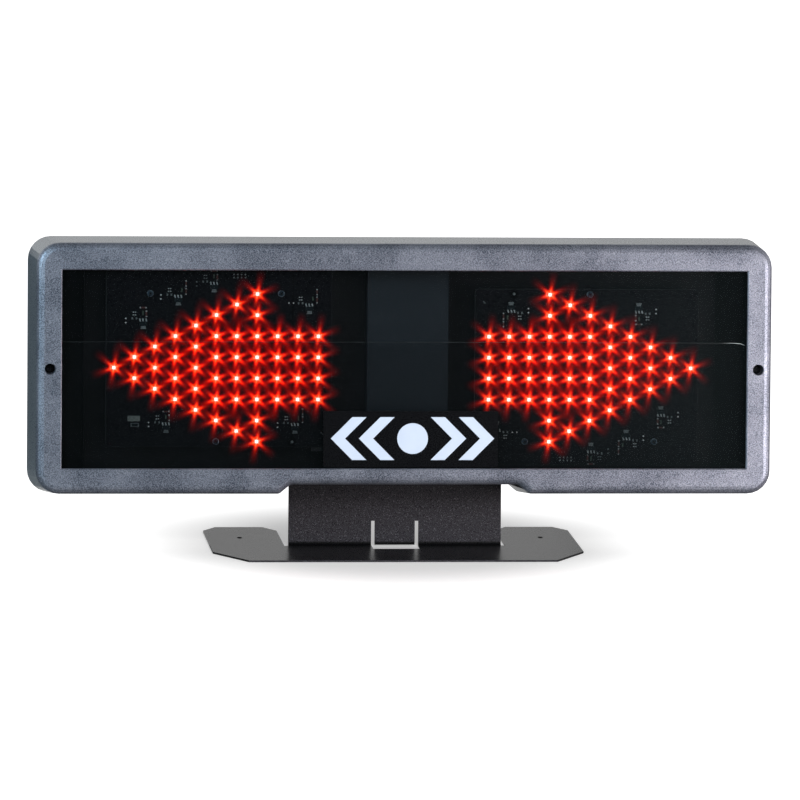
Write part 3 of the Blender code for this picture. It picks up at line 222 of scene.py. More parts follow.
# Finishes that have a function of their own. Colours are dark and light, GLOSS is the range
# of roughness, and SHARES are those of the grain and of the clouds in the colour.
GLOSS_SPREAD = 0.06           # for the plain grainy finishes, each way
BEZEL_GRAIN = 0.55 * MM
BEZEL_CLOUDS = 28 * MM
BEZEL_SHARES = (0.75, 0.25)
BEZEL_COLOURS = ((0.055, 0.066, 0.093), (0.4, 0.415, 0.482))
BEZEL_GLOSS = (0.43, 0.51)
BEZEL_RELIEF = 0.022 * MM
CASE_GRAIN = 0.8 * MM
CASE_CLOUDS = 35 * MM
CASE_SHARES = (0.6, 0.4)
CASE_COLOURS = ((0.09, 0.106, 0.122), (0.112, 0.128, 0.144))
CASE_INSIDE = (0.004, 0.005, 0.005)
CASE_GLOSS = (0.27, 0.29)
INSIDE_ROUGHER = 0.5          # added to the roughness inside
CASE_RELIEF = 0.004 * MM
COAT_GRAIN = 0.45 * MM
COAT_CELLS = 0.42 * MM
COAT_COLOURS = ((0.017, 0.016, 0.0185), (0.032, 0.0302, 0.035))
# near black of the base's top: a painted shade where little light falls from above
COAT_PAINTED_SHADE = (0.0025, 0.0025, 0.0028)
COAT_SPARK = (0.2, 0.19, 0.215)
SPARK_LOT = (0.8, 1.0)        # only cells whose number is this high hold a bright grain
SPARK_REACH = (0.25, 0.55)    # from the cell's middle, where the grain fades
COAT_GLOSS = (0.24, 0.36)
COAT_RELIEF = 0.01 * MM
BASE_SHADE_HEIGHTS = (2.3 * MM, 4 * MM)    # heights between which the base's top, painted near black as shade, gives way to the grains
FRONT_EDGE = 0.2 * MM         # depth of the base's front edge, which is kept out of that painted shade and has grains too
LENS_CLOUDS = 14 * MM
LENS_COLOURS = ((0.002, 0.003, 0.003), (0.004, 0.005, 0.006))
# paler colour towards the right: a painted sheen of the light from the right
LENS_PAINTED_SHEEN = (0.0066, 0.0092, 0.0098)
LENS_GLOSS = (0.05, 0.09)
SEAM_CLOUDS = 9 * MM
# the seam's dark colour, and the light one of the painted glint at its right end
SEAM_COLOURS = ((0.009, 0.012, 0.012), (0.34, 0.37, 0.37))
SEAM_UNEVEN = (0.7, 1.3)
MASK_GRAIN = 1.2 * MM
MASK_COLOURS = ((0.0026, 0.0029, 0.0042), (0.005, 0.0054, 0.0074))
MASK_GLOSS = (0.25, 0.35)
TRACK_SIZE = 9 * MM
TRACK_WIDTH = 0.04            # share of that size
TRACK_COLOUR = (0.0037, 0.0045, 0.006)

# Studio
WHITE = (1, 1, 1, 1)
FLOOR_REACH = (-9, 9)
FLOOR_GRAIN = 40 * MM
FLOOR_COLOURS = ((0.79, 0.79, 0.79), (0.81, 0.81, 0.81))
FLOOR_PAINTED_SHADE_GLOW = 0.27             # glow of the floor close to the object, lower than white: a painted shade round the object, where its real shadow shows too
FLOOR_PAINTED_SHADE_REACH = (0.08, 0.21)    # where the painted shade starts to fade, and where the glow is white
FRONT_DIM = 0.07              # what mirrors see in front, high up behind, and overhead
SKY_DIM = 0.6
TOP_DIM = 0.05
FRONT_TO_REAR = (-0.6, 0.25)  # the range of the direction's y over which the first changes
SKY_RISE = (0.07, 0.14)       # and those of its z over which the two others do
TOP_RISE = (0.35, 0.8)
SOFT_LOW = 0.2                # the room's soft light, level and overhead
SOFT_HIGH = 0.45
SOFT_RISE = (0.0, 0.7)

# Cards: standing ones by x and their range of y, flat ones by their ranges of x and y
CARD_TOP = 0.19
CARD_LIFT = 0.0005
LEFT_CARD = (-0.3, (-0.25, 1.3))
RIGHT_CARD = (0.3, (-0.09, 1.3))
FLOOR_CARD = ((-0.3, -0.23), (0, 1.3))
FRONT_CARD = ((-0.6, 0.5), (-1.5, 0))
FAR_CARD = ((-2, 3), (-9, -1.5))

# Lamps: place, aim, size, power and colour
KEY_LAMP = ((0.2, -1.75, 0.75), (0, 0, 0.05), (0.5, 0.4), 19.0, (1.0, 0.99, 0.98))
RIGHT_LAMP = ((0.62, -0.48, 0.105), (0.14, -0.06, 0.08), (0.6, 0.21), 4.6, (1.0, 0.93, 0.94))
LEFT_LAMP = ((-0.85, -0.7, 0.5), (-0.12, -0.06, 0.12), (0.4, 0.4), 8.2, (0.6, 0.86, 1.0))

# Camera
CAMERA_PLACE = (-0.48081, -4.44067, 0.77716)
CAMERA_YAW = math.radians(6.21)
CAMERA_PITCH = math.radians(8.714)
CAMERA_ROLL = math.radians(1.001)
CAMERA_LENS = 324.0
CAMERA_CLIP = (0.1, 60)


# Node trees

def feed(tree, socket, value):
    """Link a socket, or set its value."""
    if isinstance(value, bpy.types.NodeSocket):
        tree.links.new(value, socket)
    elif isinstance(value, tuple) and len(value) == 3 and socket.type == "RGBA":
        socket.default_value = (*value, 1.0)
    else:
        socket.default_value = value


def node(tree, kind, inputs=None, **settings):
    made = tree.nodes.new("ShaderNode" + kind)
    for key, value in settings.items():
        setattr(made, key, value)
    for key, value in (inputs or {}).items():
        feed(tree, made.inputs[key], value)
    return made


def maths(tree, operation, *values):
    made = node(tree, "Math", operation=operation)
    for socket, value in zip(made.inputs, values):
        feed(tree, socket, value)
    return made.outputs[0]


def total(tree, *values):
    result = values[0]
    for value in values[1:]:
        result = maths(tree, "ADD", result, value)
    return result


def times(tree, *values):
    result = values[0]
    for value in values[1:]:
        result = maths(tree, "MULTIPLY", result, value)
    return result


def largest(tree, *values):
    result = values[0]
    for value in values[1:]:
        result = maths(tree, "MAXIMUM", result, value)
    return result


def blend_colour(tree, share, first, second):
    made = node(tree, "Mix", data_type="RGBA")
    feed(tree, made.inputs[0], share)
    feed(tree, made.inputs[6], first)
    feed(tree, made.inputs[7], second)
    return made.outputs[2]


def ramp(tree, value, low, high, start=0.0, end=1.0, smooth=True):
    """A value that goes from start to end as the input goes from low to high."""
    made = node(tree, "MapRange", {"Value": value})
    made.interpolation_type = "SMOOTHSTEP" if smooth else "LINEAR"
    feed(tree, made.inputs["From Min"], low)
    feed(tree, made.inputs["From Max"], high)
    feed(tree, made.inputs["To Min"], start)
    feed(tree, made.inputs["To Max"], end)
    return made.outputs["Result"]


def position(tree):
    return node(tree, "TexCoord").outputs["Object"]


def coordinates(tree):
    """A point's x, y and z."""
    spot = node(tree, "SeparateXYZ", {"Vector": position(tree)})
    return spot.outputs["X"], spot.outputs["Y"], spot.outputs["Z"]


def case_height(tree):
    """A point's height up the case's front, in the case's axes."""
    _, y, z = coordinates(tree)
    return total(tree, times(tree, y, AXIS.y), times(tree, z, AXIS.z))


def case_depth(tree):
    """A point's depth into the case, in the case's axes."""
    _, y, z = coordinates(tree)
    return total(tree, times(tree, y, AXIS.z), times(tree, z, -AXIS.y))


def by_seam(tree, below, above):
    """One value below the pane's seam and another above it."""
    share = ramp(tree, case_height(tree), SEAM_Z - SEAM_SOFT, SEAM_Z + SEAM_SOFT)
    return ramp(tree, share, 0.0, 1.0, below, above, smooth=False)


def noise(tree, size, detail=2.0, roughness=0.5):
    """Noise whose grains are about this many metres, in the frame's axes."""
    made = node(tree, "TexNoise", {"Vector": position(tree)})
    made.inputs["Scale"].default_value = 1.0 / size
    made.inputs["Detail"].default_value = detail
    made.inputs["Roughness"].default_value = roughness
    return made.outputs["Fac"]


def cells(tree, size):
    """Small cells: how far a point is from its cell's middle, and a number for each cell."""
    made = node(tree, "TexVoronoi", {"Vector": position(tree)})
    made.inputs["Scale"].default_value = 1.0 / size
    lot = node(tree, "SeparateColor", {"Color": made.outputs["Color"]})
    return made.outputs["Distance"], lot.outputs[0]


def principled(name, metallic=0.0, roughness=0.5, specular=0.5):
    """A new material with its shader's constants set: (material, tree, shader)."""
    made = bpy.data.materials.new(name)
    made.use_nodes = True
    shader = made.node_tree.nodes["Principled BSDF"]
    shader.inputs["Metallic"].default_value = metallic
    shader.inputs["Roughness"].default_value = roughness
    shader.inputs["Specular IOR Level"].default_value = specular
    return made, made.node_tree, shader


def bump(tree, shader, height, depth):
    made = node(tree, "Bump", {"Height": height})
    made.inputs["Strength"].default_value = 1.0
    made.inputs["Distance"].default_value = depth
    feed(tree, shader.inputs["Normal"], made.outputs[0])


# Materials

def grainy(name, dark, light, grain, relief, roughness, **constants):
    """A surface with fine grain in its colour, relief and gloss; grain and relief in millimetres."""
    made, tree, shader = principled(name, roughness=roughness, **constants)
    fine = noise(tree, grain * MM, 3.0, 0.6)
    colour = blend_colour(tree, ramp(tree, fine, *SPAN), dark, light)
    feed(tree, shader.inputs["Base Color"], colour)
    gloss = ramp(tree, fine, *SPAN, roughness - GLOSS_SPREAD, roughness + GLOSS_SPREAD)
    feed(tree, shader.inputs["Roughness"], gloss)
    bump(tree, shader, fine, relief * MM)
    return made


def bezel_paint():
    """Blue-grey metallic paint with an orange-peel speckle and soft clouds."""
    made, tree, shader = principled("bezel_metallic_paint", metallic=0.75, roughness=0.4)
    flakes = noise(tree, BEZEL_GRAIN, 2.0, 0.6)
    clouds = noise(tree, BEZEL_CLOUDS)
    share = total(
        tree,
        ramp(tree, flakes, *TIGHT_SPAN, 0.0, BEZEL_SHARES[0]),
        ramp(tree, clouds, *TIGHT_SPAN, 0.0, BEZEL_SHARES[1]),
    )
    feed(tree, shader.inputs["Base Color"], blend_colour(tree, share, *BEZEL_COLOURS))
    feed(tree, shader.inputs["Roughness"], ramp(tree, flakes, *SPAN, *BEZEL_GLOSS))
    bump(tree, shader, flakes, BEZEL_RELIEF)
    return made


def case_paint():
    """Dark fine-textured paint outside, near black inside."""
    made, tree, shader = principled("case_textured_paint", roughness=0.28)
    fine = noise(tree, CASE_GRAIN, 3.0, 0.6)
    slow = noise(tree, CASE_CLOUDS)
    share = total(
        tree,
        ramp(tree, fine, *SPAN, 0.0, CASE_SHARES[0]),
        ramp(tree, slow, *TIGHT_SPAN, 0.0, CASE_SHARES[1]),
    )
    outer = blend_colour(tree, share, *CASE_COLOURS)
    x, _, _ = coordinates(tree)
    aside = maths(tree, "ABSOLUTE", x)
    height = maths(tree, "ABSOLUTE", maths(tree, "SUBTRACT", case_height(tree), ARROW_Z))
    inside = times(
        tree,
        maths(tree, "LESS_THAN", total(tree, aside, height), INSIDE_X + INSIDE_Z - INSIDE_CORNER),
        maths(tree, "LESS_THAN", aside, INSIDE_X),
        maths(tree, "LESS_THAN", height, INSIDE_Z),
        maths(tree, "LESS_THAN", case_depth(tree), INSIDE_END),
    )
    feed(tree, shader.inputs["Base Color"], blend_colour(tree, inside, outer, CASE_INSIDE))
    gloss = ramp(tree, fine, *SPAN, *CASE_GLOSS)
    rough = total(tree, gloss, times(tree, inside, INSIDE_ROUGHER))
    feed(tree, shader.inputs["Roughness"], rough)
    bump(tree, shader, fine, CASE_RELIEF)
    return made


def stand_coat():
    """Black powder coat with scattered bright grains; the base's top is painted plain and blacker, a
    painted shade where little light falls from above.
    """
    made, tree, shader = principled("stand_textured_coat", roughness=0.3, specular=0.4)
    fine = noise(tree, COAT_GRAIN, 2.0, 0.6)
    distance, lot = cells(tree, COAT_CELLS)
    body = blend_colour(tree, ramp(tree, fine, *SPAN), *COAT_COLOURS)
    _, y, z = coordinates(tree)
    edge = maths(tree, "LESS_THAN", y, STAND_FRONT + FRONT_EDGE)
    # the base's top gets the painted shade and no grains; its front edge is kept out of it
    unshaded = largest(tree, ramp(tree, z, *BASE_SHADE_HEIGHTS), edge)
    body = blend_colour(tree, unshaded, COAT_PAINTED_SHADE, body)
    spark = times(
        tree,
        unshaded,
        ramp(tree, lot, *SPARK_LOT),
        ramp(tree, distance, *SPARK_REACH, 1.0, 0.0),
    )
    feed(tree, shader.inputs["Base Color"], blend_colour(tree, spark, body, COAT_SPARK))
    feed(tree, shader.inputs["Roughness"], ramp(tree, fine, *SPAN, *COAT_GLOSS))
    bump(tree, shader, fine, COAT_RELIEF)
    return made


def smoked_lens():
    """A thin smoked pane, a little darker below its seam, and painted paler to the right as a sheen
    of the light from that side.
    """
    made, tree, shader = principled("smoked_lens", roughness=0.06, specular=0.2)
    haze = noise(tree, LENS_CLOUDS)
    x, _, _ = coordinates(tree)
    clean = blend_colour(tree, haze, *LENS_COLOURS)
    colour = blend_colour(tree, ramp(tree, x, 0.0, PAINTED_SHEEN_END), clean, LENS_PAINTED_SHEEN)
    feed(tree, shader.inputs["Base Color"], colour)
    feed(tree, shader.inputs["Roughness"], ramp(tree, haze, *SPAN, *LENS_GLOSS))
    cloudy = ramp(tree, haze, *SPAN, -LENS_ALPHA_SPREAD, LENS_ALPHA_SPREAD)
    alpha = total(tree, cloudy, by_seam(tree, LENS_ALPHA_LOW, LENS_ALPHA))
    feed(tree, shader.inputs["Alpha"], alpha)
    return made


def seam_strip():
    """The edge of the pane's lower sheet, painted brighter at its right end as a glint."""
    made, tree, shader = principled("lens_seam", roughness=0.35, specular=0.4)
    x, _, _ = coordinates(tree)
    uneven = ramp(tree, noise(tree, SEAM_CLOUDS), *SPAN, *SEAM_UNEVEN)
    colour = blend_colour(tree, ramp(tree, x, *SEAM_PAINTED_GLINT), *SEAM_COLOURS)
    grey = node(tree, "CombineXYZ", {"X": uneven, "Y": uneven, "Z": uneven}).outputs[0]
    varied = node(tree, "VectorMath", {0: colour, 1: grey}, operation="MULTIPLY").outputs[0]
    feed(tree, shader.inputs["Base Color"], varied)
    return made


def board_mask():
    """Near-black solder mask with faint tracks."""
    made, tree, shader = principled("board_mask", roughness=0.3, specular=0.15)
    tracks = node(tree, "TexBrick", {"Vector": position(tree), "Scale": 1 / TRACK_SIZE})
    tracks.inputs["Mortar Size"].default_value = TRACK_WIDTH
    fine = noise(tree, MASK_GRAIN)
    ground = blend_colour(tree, fine, *MASK_COLOURS)
    colour = blend_colour(tree, tracks.outputs["Fac"], ground, TRACK_COLOUR)
    feed(tree, shader.inputs["Base Color"], colour)
    feed(tree, shader.inputs["Roughness"], ramp(tree, fine, *SPAN, *MASK_GLOSS))
    return made


def glowing(name, grain, dark, light, glow_dark, glow_light, strength, **constants):
    """A cloudy surface that also glows; grain in millimetres."""
    made, tree, shader = principled(name, **constants)
    cloud = noise(tree, grain * MM)
    feed(tree, shader.inputs["Base Color"], blend_colour(tree, cloud, dark, light))
    feed(tree, shader.inputs["Emission Color"], blend_colour(tree, cloud, glow_dark, glow_light))
    shader.inputs["Emission Strength"].default_value = strength
    return made


def lit_mark():
    """White film, lit from behind."""
    return glowing(
        "legend_white", 7, (0.38, 0.43, 0.52), (0.42, 0.47, 0.56),
        (0.8, 0.88, 1.0), (0.9, 0.96, 1.0), strength=0.1, roughness=0.4, specular=0.3,
    )


def led_lit():
    """The LED's round window, glowing red."""
    return glowing(
        "led_window_lit", 0.8, (0.5, 0.1, 0.08), (0.6, 0.14, 0.1),
        (1.0, 0.3, 0.2), (1.0, 0.45, 0.3), strength=0.7, roughness=0.25,
    )


def star_glow(name, boost):
    """Six light rays round a square LED, a painted glow on flat cards, worked out from the place in
    the star.

    The map holds the place: 0.5 is the LED's middle, and 0 and 1 are STAR_REACH away.
    The glow makes up for what the pane takes away, which is more below the seam.
    """
    made = bpy.data.materials.new(name)
    made.use_nodes = True
    tree = made.node_tree
    tree.nodes.remove(tree.nodes["Principled BSDF"])
    spot = node(tree, "SeparateXYZ", {"Vector": node(tree, "UVMap", uv_map="star").outputs[0]})
    span = 2 * STAR_REACH / MM
    x = times(tree, maths(tree, "SUBTRACT", spot.outputs[0], 0.5), span)
    z = times(tree, maths(tree, "SUBTRACT", spot.outputs[1], 0.5), span)
    radius = maths(tree, "SQRT", total(tree, times(tree, x, x), times(tree, z, z)))
    angle = maths(tree, "SUBTRACT", maths(tree, "ARCTAN2", z, x), STAR_TURN - STAR_STEP / 2)
    folded = maths(tree, "SUBTRACT", maths(tree, "FLOORED_MODULO", angle, STAR_STEP), STAR_STEP / 2)
    along = times(tree, radius, maths(tree, "COSINE", folded))
    across = times(tree, radius, maths(tree, "SINE", folded))

    def bell(width):
        share = maths(tree, "DIVIDE", across, width)
        return maths(tree, "EXPONENT", times(tree, share, share, -1.0))

    def fade(value, start, end, strength=1.0):
        return ramp(tree, value, start, end, strength, 0.0)

    def decay(strength, length):
        return times(tree, maths(tree, "EXPONENT", maths(tree, "DIVIDE", along, -length)), strength)

    core = fade(largest(tree, maths(tree, "ABSOLUTE", x), maths(tree, "ABSOLUTE", z)), *CORE_FADE)
    length = total(tree, fade(along, *ROOT_FADE), decay(*TAIL_DECAY))
    wide = ramp(tree, along, *TAIL_WIDTH, smooth=False)
    ray = times(tree, length, boost, bell(wide), fade(along, *TAIL_FADE))
    halo = total(tree, fade(radius, *RED_HALO), fade(radius, *RED_OUTER_HALO))
    line = bell(LINE_WIDTH)
    levels = (
        total(tree, ray, halo),
        total(tree, fade(radius, *GREEN_HALO), times(tree, decay(*GREEN_DECAY), line), core),
        total(tree, fade(radius, *BLUE_HALO), times(tree, decay(*BLUE_DECAY), line), core),
    )
    colour = node(tree, "CombineColor")
    for socket, level, most in zip(colour.inputs, levels, BRIGHTEST):
        feed(tree, socket, maths(tree, "MINIMUM", level, most))
    strength = by_seam(tree, (1 - LENS_ALPHA_LOW) ** -2, (1 - LENS_ALPHA) ** -2)
    glow = node(tree, "Emission", {"Color": colour.outputs[0], "Strength": strength})
    clear = node(tree, "BsdfTransparent")
    both = node(tree, "AddShader", {0: glow.outputs[0], 1: clear.outputs[0]})
    tree.links.new(both.outputs[0], tree.nodes["Material Output"].inputs["Surface"])
    return made


def node_finishes(mask):
    """A finish for each material slot of the CAD nodes."""
    finishes = {"bezel_paint": bezel_paint(), "lens_smoke": smoked_lens()}

    def add(name, dark, light, **details):
        finishes[name] = grainy(name, dark, light, **details)

    add("foam", (0.008, 0.008, 0.008), (0.02, 0.02, 0.02),
        grain=0.4, relief=0.05, roughness=0.9, specular=0.1)
    add("legend_black", (0.0026, 0.0028, 0.0034), (0.0044, 0.0046, 0.0053),
        grain=0.5, relief=0.003, roughness=0.28, specular=0.12)
    finishes["case_paint"] = case_paint()
    finishes["board_mask"] = mask
    add("black_steel", (0.006, 0.007, 0.008), (0.012, 0.013, 0.015),
        grain=0.6, relief=0.01, roughness=0.42, metallic=0.2, specular=0.2)
    add("cover_grey", (0.018, 0.026, 0.033), (0.027, 0.036, 0.046),
        grain=0.8, relief=0.01, roughness=0.5, specular=0.15)
    add("black_plastic", (0.012, 0.012, 0.013), (0.03, 0.03, 0.031),
        grain=0.5, relief=0.02, roughness=0.42)
    add("ribbon_grey", (0.02, 0.02, 0.022), (0.035, 0.035, 0.038),
        grain=1.2, relief=0.03, roughness=0.55)
    add("plated_steel", (0.42, 0.42, 0.4), (0.6, 0.6, 0.58),
        grain=0.7, relief=0.01, roughness=0.3, metallic=1.0)
    add("lead_black", (0.012, 0.012, 0.012), (0.025, 0.025, 0.025),
        grain=0.8, relief=0.01, roughness=0.5)
    finishes["stand_coat"] = stand_coat()
    return finishes


def board_finishes(mask):
    """The finishes of a board and of what is on it, in the order of their numbers."""
    def plain(name, dark, light, roughness, **constants):
        return grainy(name, dark, light, 0.7, 0.01, roughness, **constants)

    return [
        mask,
        plain("board_rim", (0.009, 0.0115, 0.0125), (0.018, 0.021, 0.0225), 0.5, specular=0.2),
        plain("solder_bright", (0.52, 0.58, 0.6), (0.8, 0.9, 0.93), 0.35),
        plain("solder", (0.2, 0.25, 0.26), (0.46, 0.54, 0.56), 0.4),
        plain("solder_dull", (0.08, 0.1, 0.105), (0.19, 0.23, 0.24), 0.45),
        plain("chip_body", (0.006, 0.011, 0.014), (0.01, 0.018, 0.022), 0.4, specular=0.1),
        plain("resistor_body", (0.05, 0.014, 0.013), (0.09, 0.025, 0.022), 0.45),
        plain("capacitor_body", (0.03, 0.055, 0.04), (0.055, 0.09, 0.065), 0.45),
        plain("label_blank", (0.1, 0.13, 0.125), (0.2, 0.24, 0.23), 0.6),
        plain("led_body", (0.3, 0.03, 0.025), (0.4, 0.05, 0.04), 0.45),
        led_lit(),
        # a painted shade for the groove and the hole round the pin
        plain("hole_painted_shade", (0.0008, 0.0008, 0.0008), (0.0016, 0.0016, 0.0016), 0.8, specular=0.05),
    ]


def screw_finishes():
    """The finishes of a screw's side, painted light as a highlight, of its recess, painted dark as
    shade, and of its top, in the order of their numbers.
    """
    return [
        # the side is painted light as a highlight round the head's rim, and the recess painted dark
        # as shade
        grainy("screw_rim", (0.16, 0.23, 0.28), (0.4, 0.52, 0.6),
               grain=0.9, relief=0.01, roughness=0.28, metallic=0.6),
        grainy("screw_recess", (0.004, 0.005, 0.006), (0.008, 0.009, 0.01),
               grain=0.5, relief=0.005, roughness=0.6),
        grainy("screw_top", (0.014, 0.035, 0.055), (0.07, 0.13, 0.19),
               grain=0.9, relief=0.01, roughness=0.3, metallic=0.3),
    ]


# Shapes, drawn in the case's axes

def case_box(name):
    """Lowest and highest corner of a node, in the case's axes."""
    points = [TO_CASE @ v.co for v in frame["nodes"][name].data.vertices]
    low = Vector(min(p[i] for p in points) for i in range(3))
    high = Vector(max(p[i] for p in points) for i in range(3))
    return low, high


def slab(bm, x_range, y_range, z_range, index=0, bevel=0.0):
    """A box, its edges bevelled where a width is given."""
    low = Vector((x_range[0], y_range[0], z_range[0]))
    high = Vector((x_range[1], y_range[1], z_range[1]))
    made = bmesh.ops.create_cube(bm, size=1.0)["verts"]
    bmesh.ops.scale(bm, vec=high - low, verts=made)
    bmesh.ops.translate(bm, vec=(low + high) / 2, verts=made)
    faces = {face for vert in made for face in vert.link_faces}
    for face in faces:
        face.material_index = index
    if bevel:
        edges = {edge for vert in made for edge in vert.link_edges}
        bmesh.ops.bevel(bm, geom=list(edges), offset=bevel, segments=1, affect="EDGES",
                        clamp_overlap=True, material=-1)


def outline(bm, points, y_range, index=0):
    """An (x, z) outline run from one depth to another."""
    near = [bm.verts.new((x, y_range[0], z)) for x, z in points]
    far = [bm.verts.new((x, y_range[1], z)) for x, z in points]
    count = len(points)
    faces = [bm.faces.new(near), bm.faces.new(list(reversed(far)))]
    for i in range(count):
        j = (i + 1) % count
        faces.append(bm.faces.new((near[j], near[i], far[i], far[j])))
    for face in faces:
        face.material_index = index


def circle(x, z, radius, sides):
    angles = [2 * math.pi * i / sides for i in range(sides)]
    return [(x + radius * math.cos(a), z + radius * math.sin(a)) for a in angles]


def rounded(x_range, z_range, radius, steps=5):
    """A rectangle's outline with rounded corners."""
    points = []
    corners = ((1, 1), (0, 1), (0, 0), (1, 0))
    for k, (i, j) in enumerate(corners):
        x = x_range[i] + (radius if i == 0 else -radius)
        z = z_range[j] + (radius if j == 0 else -radius)
        for step in range(steps + 1):
            angle = (k + step / steps) * math.pi / 2
            points.append((x + radius * math.cos(angle), z + radius * math.sin(angle)))
    return points


def loops(bm, rings, indices):
    """Faces between rings of equal count, one material index for each gap, and a face on each end."""
    made = [[bm.verts.new(point) for point in ring] for ring in rings]
    count = len(made[0])
    for near, far, index in zip(made, made[1:], indices[1:]):
        for i in range(count):
            j = (i + 1) % count
            bm.faces.new((near[i], near[j], far[j], far[i])).material_index = index
    bm.faces.new(made[0]).material_index = indices[0]
    bm.faces.new(made[-1]).material_index = indices[-1]


def add_object(name, data):
    item = bpy.data.objects.new(name, data)
    bpy.context.scene.collection.objects.link(item)
    return item


def add_mesh(name, bm, finishes, turn=None):
    """Turn a drawn bmesh into an object of the scene."""
    mesh = bpy.data.meshes.new(name)
    bm.to_mesh(mesh)
    bm.free()
    if turn is not None:
        mesh.transform(turn)
    for finish in finishes:
        mesh.materials.append(finish)
    return add_object(name, mesh)


def piece(name, bm, finishes):
    """A piece drawn in the case's axes, which rides on the housing."""
    bmesh.ops.recalc_face_normals(bm, faces=bm.faces)
    item = add_mesh(name, bm, finishes, TO_WORLD)
    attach(item, "housing")
    return item


LEFT_LOW, LEFT_HIGH = case_box("left_led_board")
ARROW_Z = (LEFT_LOW.z + case_box("right_led_board")[1].z) / 2
LED_FRONT = LEFT_LOW.y                       # the front of the LEDs' round windows
BOARD_BACK = LEFT_HIGH.y
BOARD_FRONT = BOARD_BACK - BOARD_THICKNESS
LENS_FRONT = case_box("window_lens")[0].y
LEGEND_FRONT = case_box("legend_plate")[0].y
SEAM_Z = ARROW_Z + SEAM_RISE
SHELL_HIGH = case_box("case_shell")[1]
STAND_FRONT = min(v.co.y for v in frame["nodes"]["stand_bracket"].data.vertices)
INSIDE_X = SHELL_HIGH.x - INSIDE_SIDE
INSIDE_Z = SHELL_HIGH.z - ARROW_Z - INSIDE_TOP
INSIDE_END = SHELL_HIGH.y - INSIDE_REAR


def arrow_places():
    """The LEDs of the left arrow, from its tip, in pitches from the case's middle."""
    places = []
    for k in range(HEAD_COLUMNS):
        places += [(k - ARROW_TIP, row - k / 2) for row in range(k + 1)]
    places += [(HEAD_COLUMNS - ARROW_TIP, row) for row in NOTCHED_ROWS]
    places += [(HEAD_COLUMNS + 1 - ARROW_TIP, row) for row in BARB_ROWS]
    for k in range(SHAFT_COLUMNS):
        places += [(HEAD_COLUMNS + 2 + k - ARROW_TIP, row) for row in SHAFT_ROWS]
    return places


def crowded(spot):
    """Whether an LED has others all round it."""
    x, z = spot
    near = [p for p in arrow_places() if abs(p[0] - x) < CROWD_REACH and abs(p[1] - z) < CROWD_REACH]
    return len(near) >= CROWD_COUNT


def make_stars(name, side, glows):
    """Painted light rays round each LED of one arrow, every star on a layer of its own."""
    bm = bmesh.new()
    reach_map = bm.loops.layers.uv.new("star")
    tips = []
    for k in range(STAR_RAYS):
        angle = STAR_TURN + k * STAR_STEP
        along = Vector((math.cos(angle), math.sin(angle)))
        across = Vector((-along.y, along.x))
        corner = angle + STAR_STEP / 2
        tips += [
            along * STAR_REACH - across * STAR_TAIL_HALF,
            along * STAR_REACH + across * STAR_TAIL_HALF,
            Vector((math.cos(corner), math.sin(corner))) * STAR_HALO,
        ]
    for i, (column, row) in enumerate(arrow_places()):
        x = side * column * LED_PITCH_X
        z = ARROW_Z + side * row * LED_PITCH_Z
        index = int(crowded((column, row)))
        depth = LED_FRONT - (i + 1) * STAR_LAYER
        middle = bm.verts.new((x, depth, z))
        rim = [bm.verts.new((x + tip.x, depth, z + tip.y)) for tip in tips]
        for k in range(len(rim)):
            face = bm.faces.new((middle, rim[k], rim[(k + 1) % len(rim)]))
            face.material_index = index
            for loop in face.loops:
                offset = loop.vert.co - middle.co
                loop[reach_map].uv = (
                    0.5 + offset.x / (2 * STAR_REACH),
                    0.5 + offset.z / (2 * STAR_REACH),
                )
    piece(name, bm, glows)


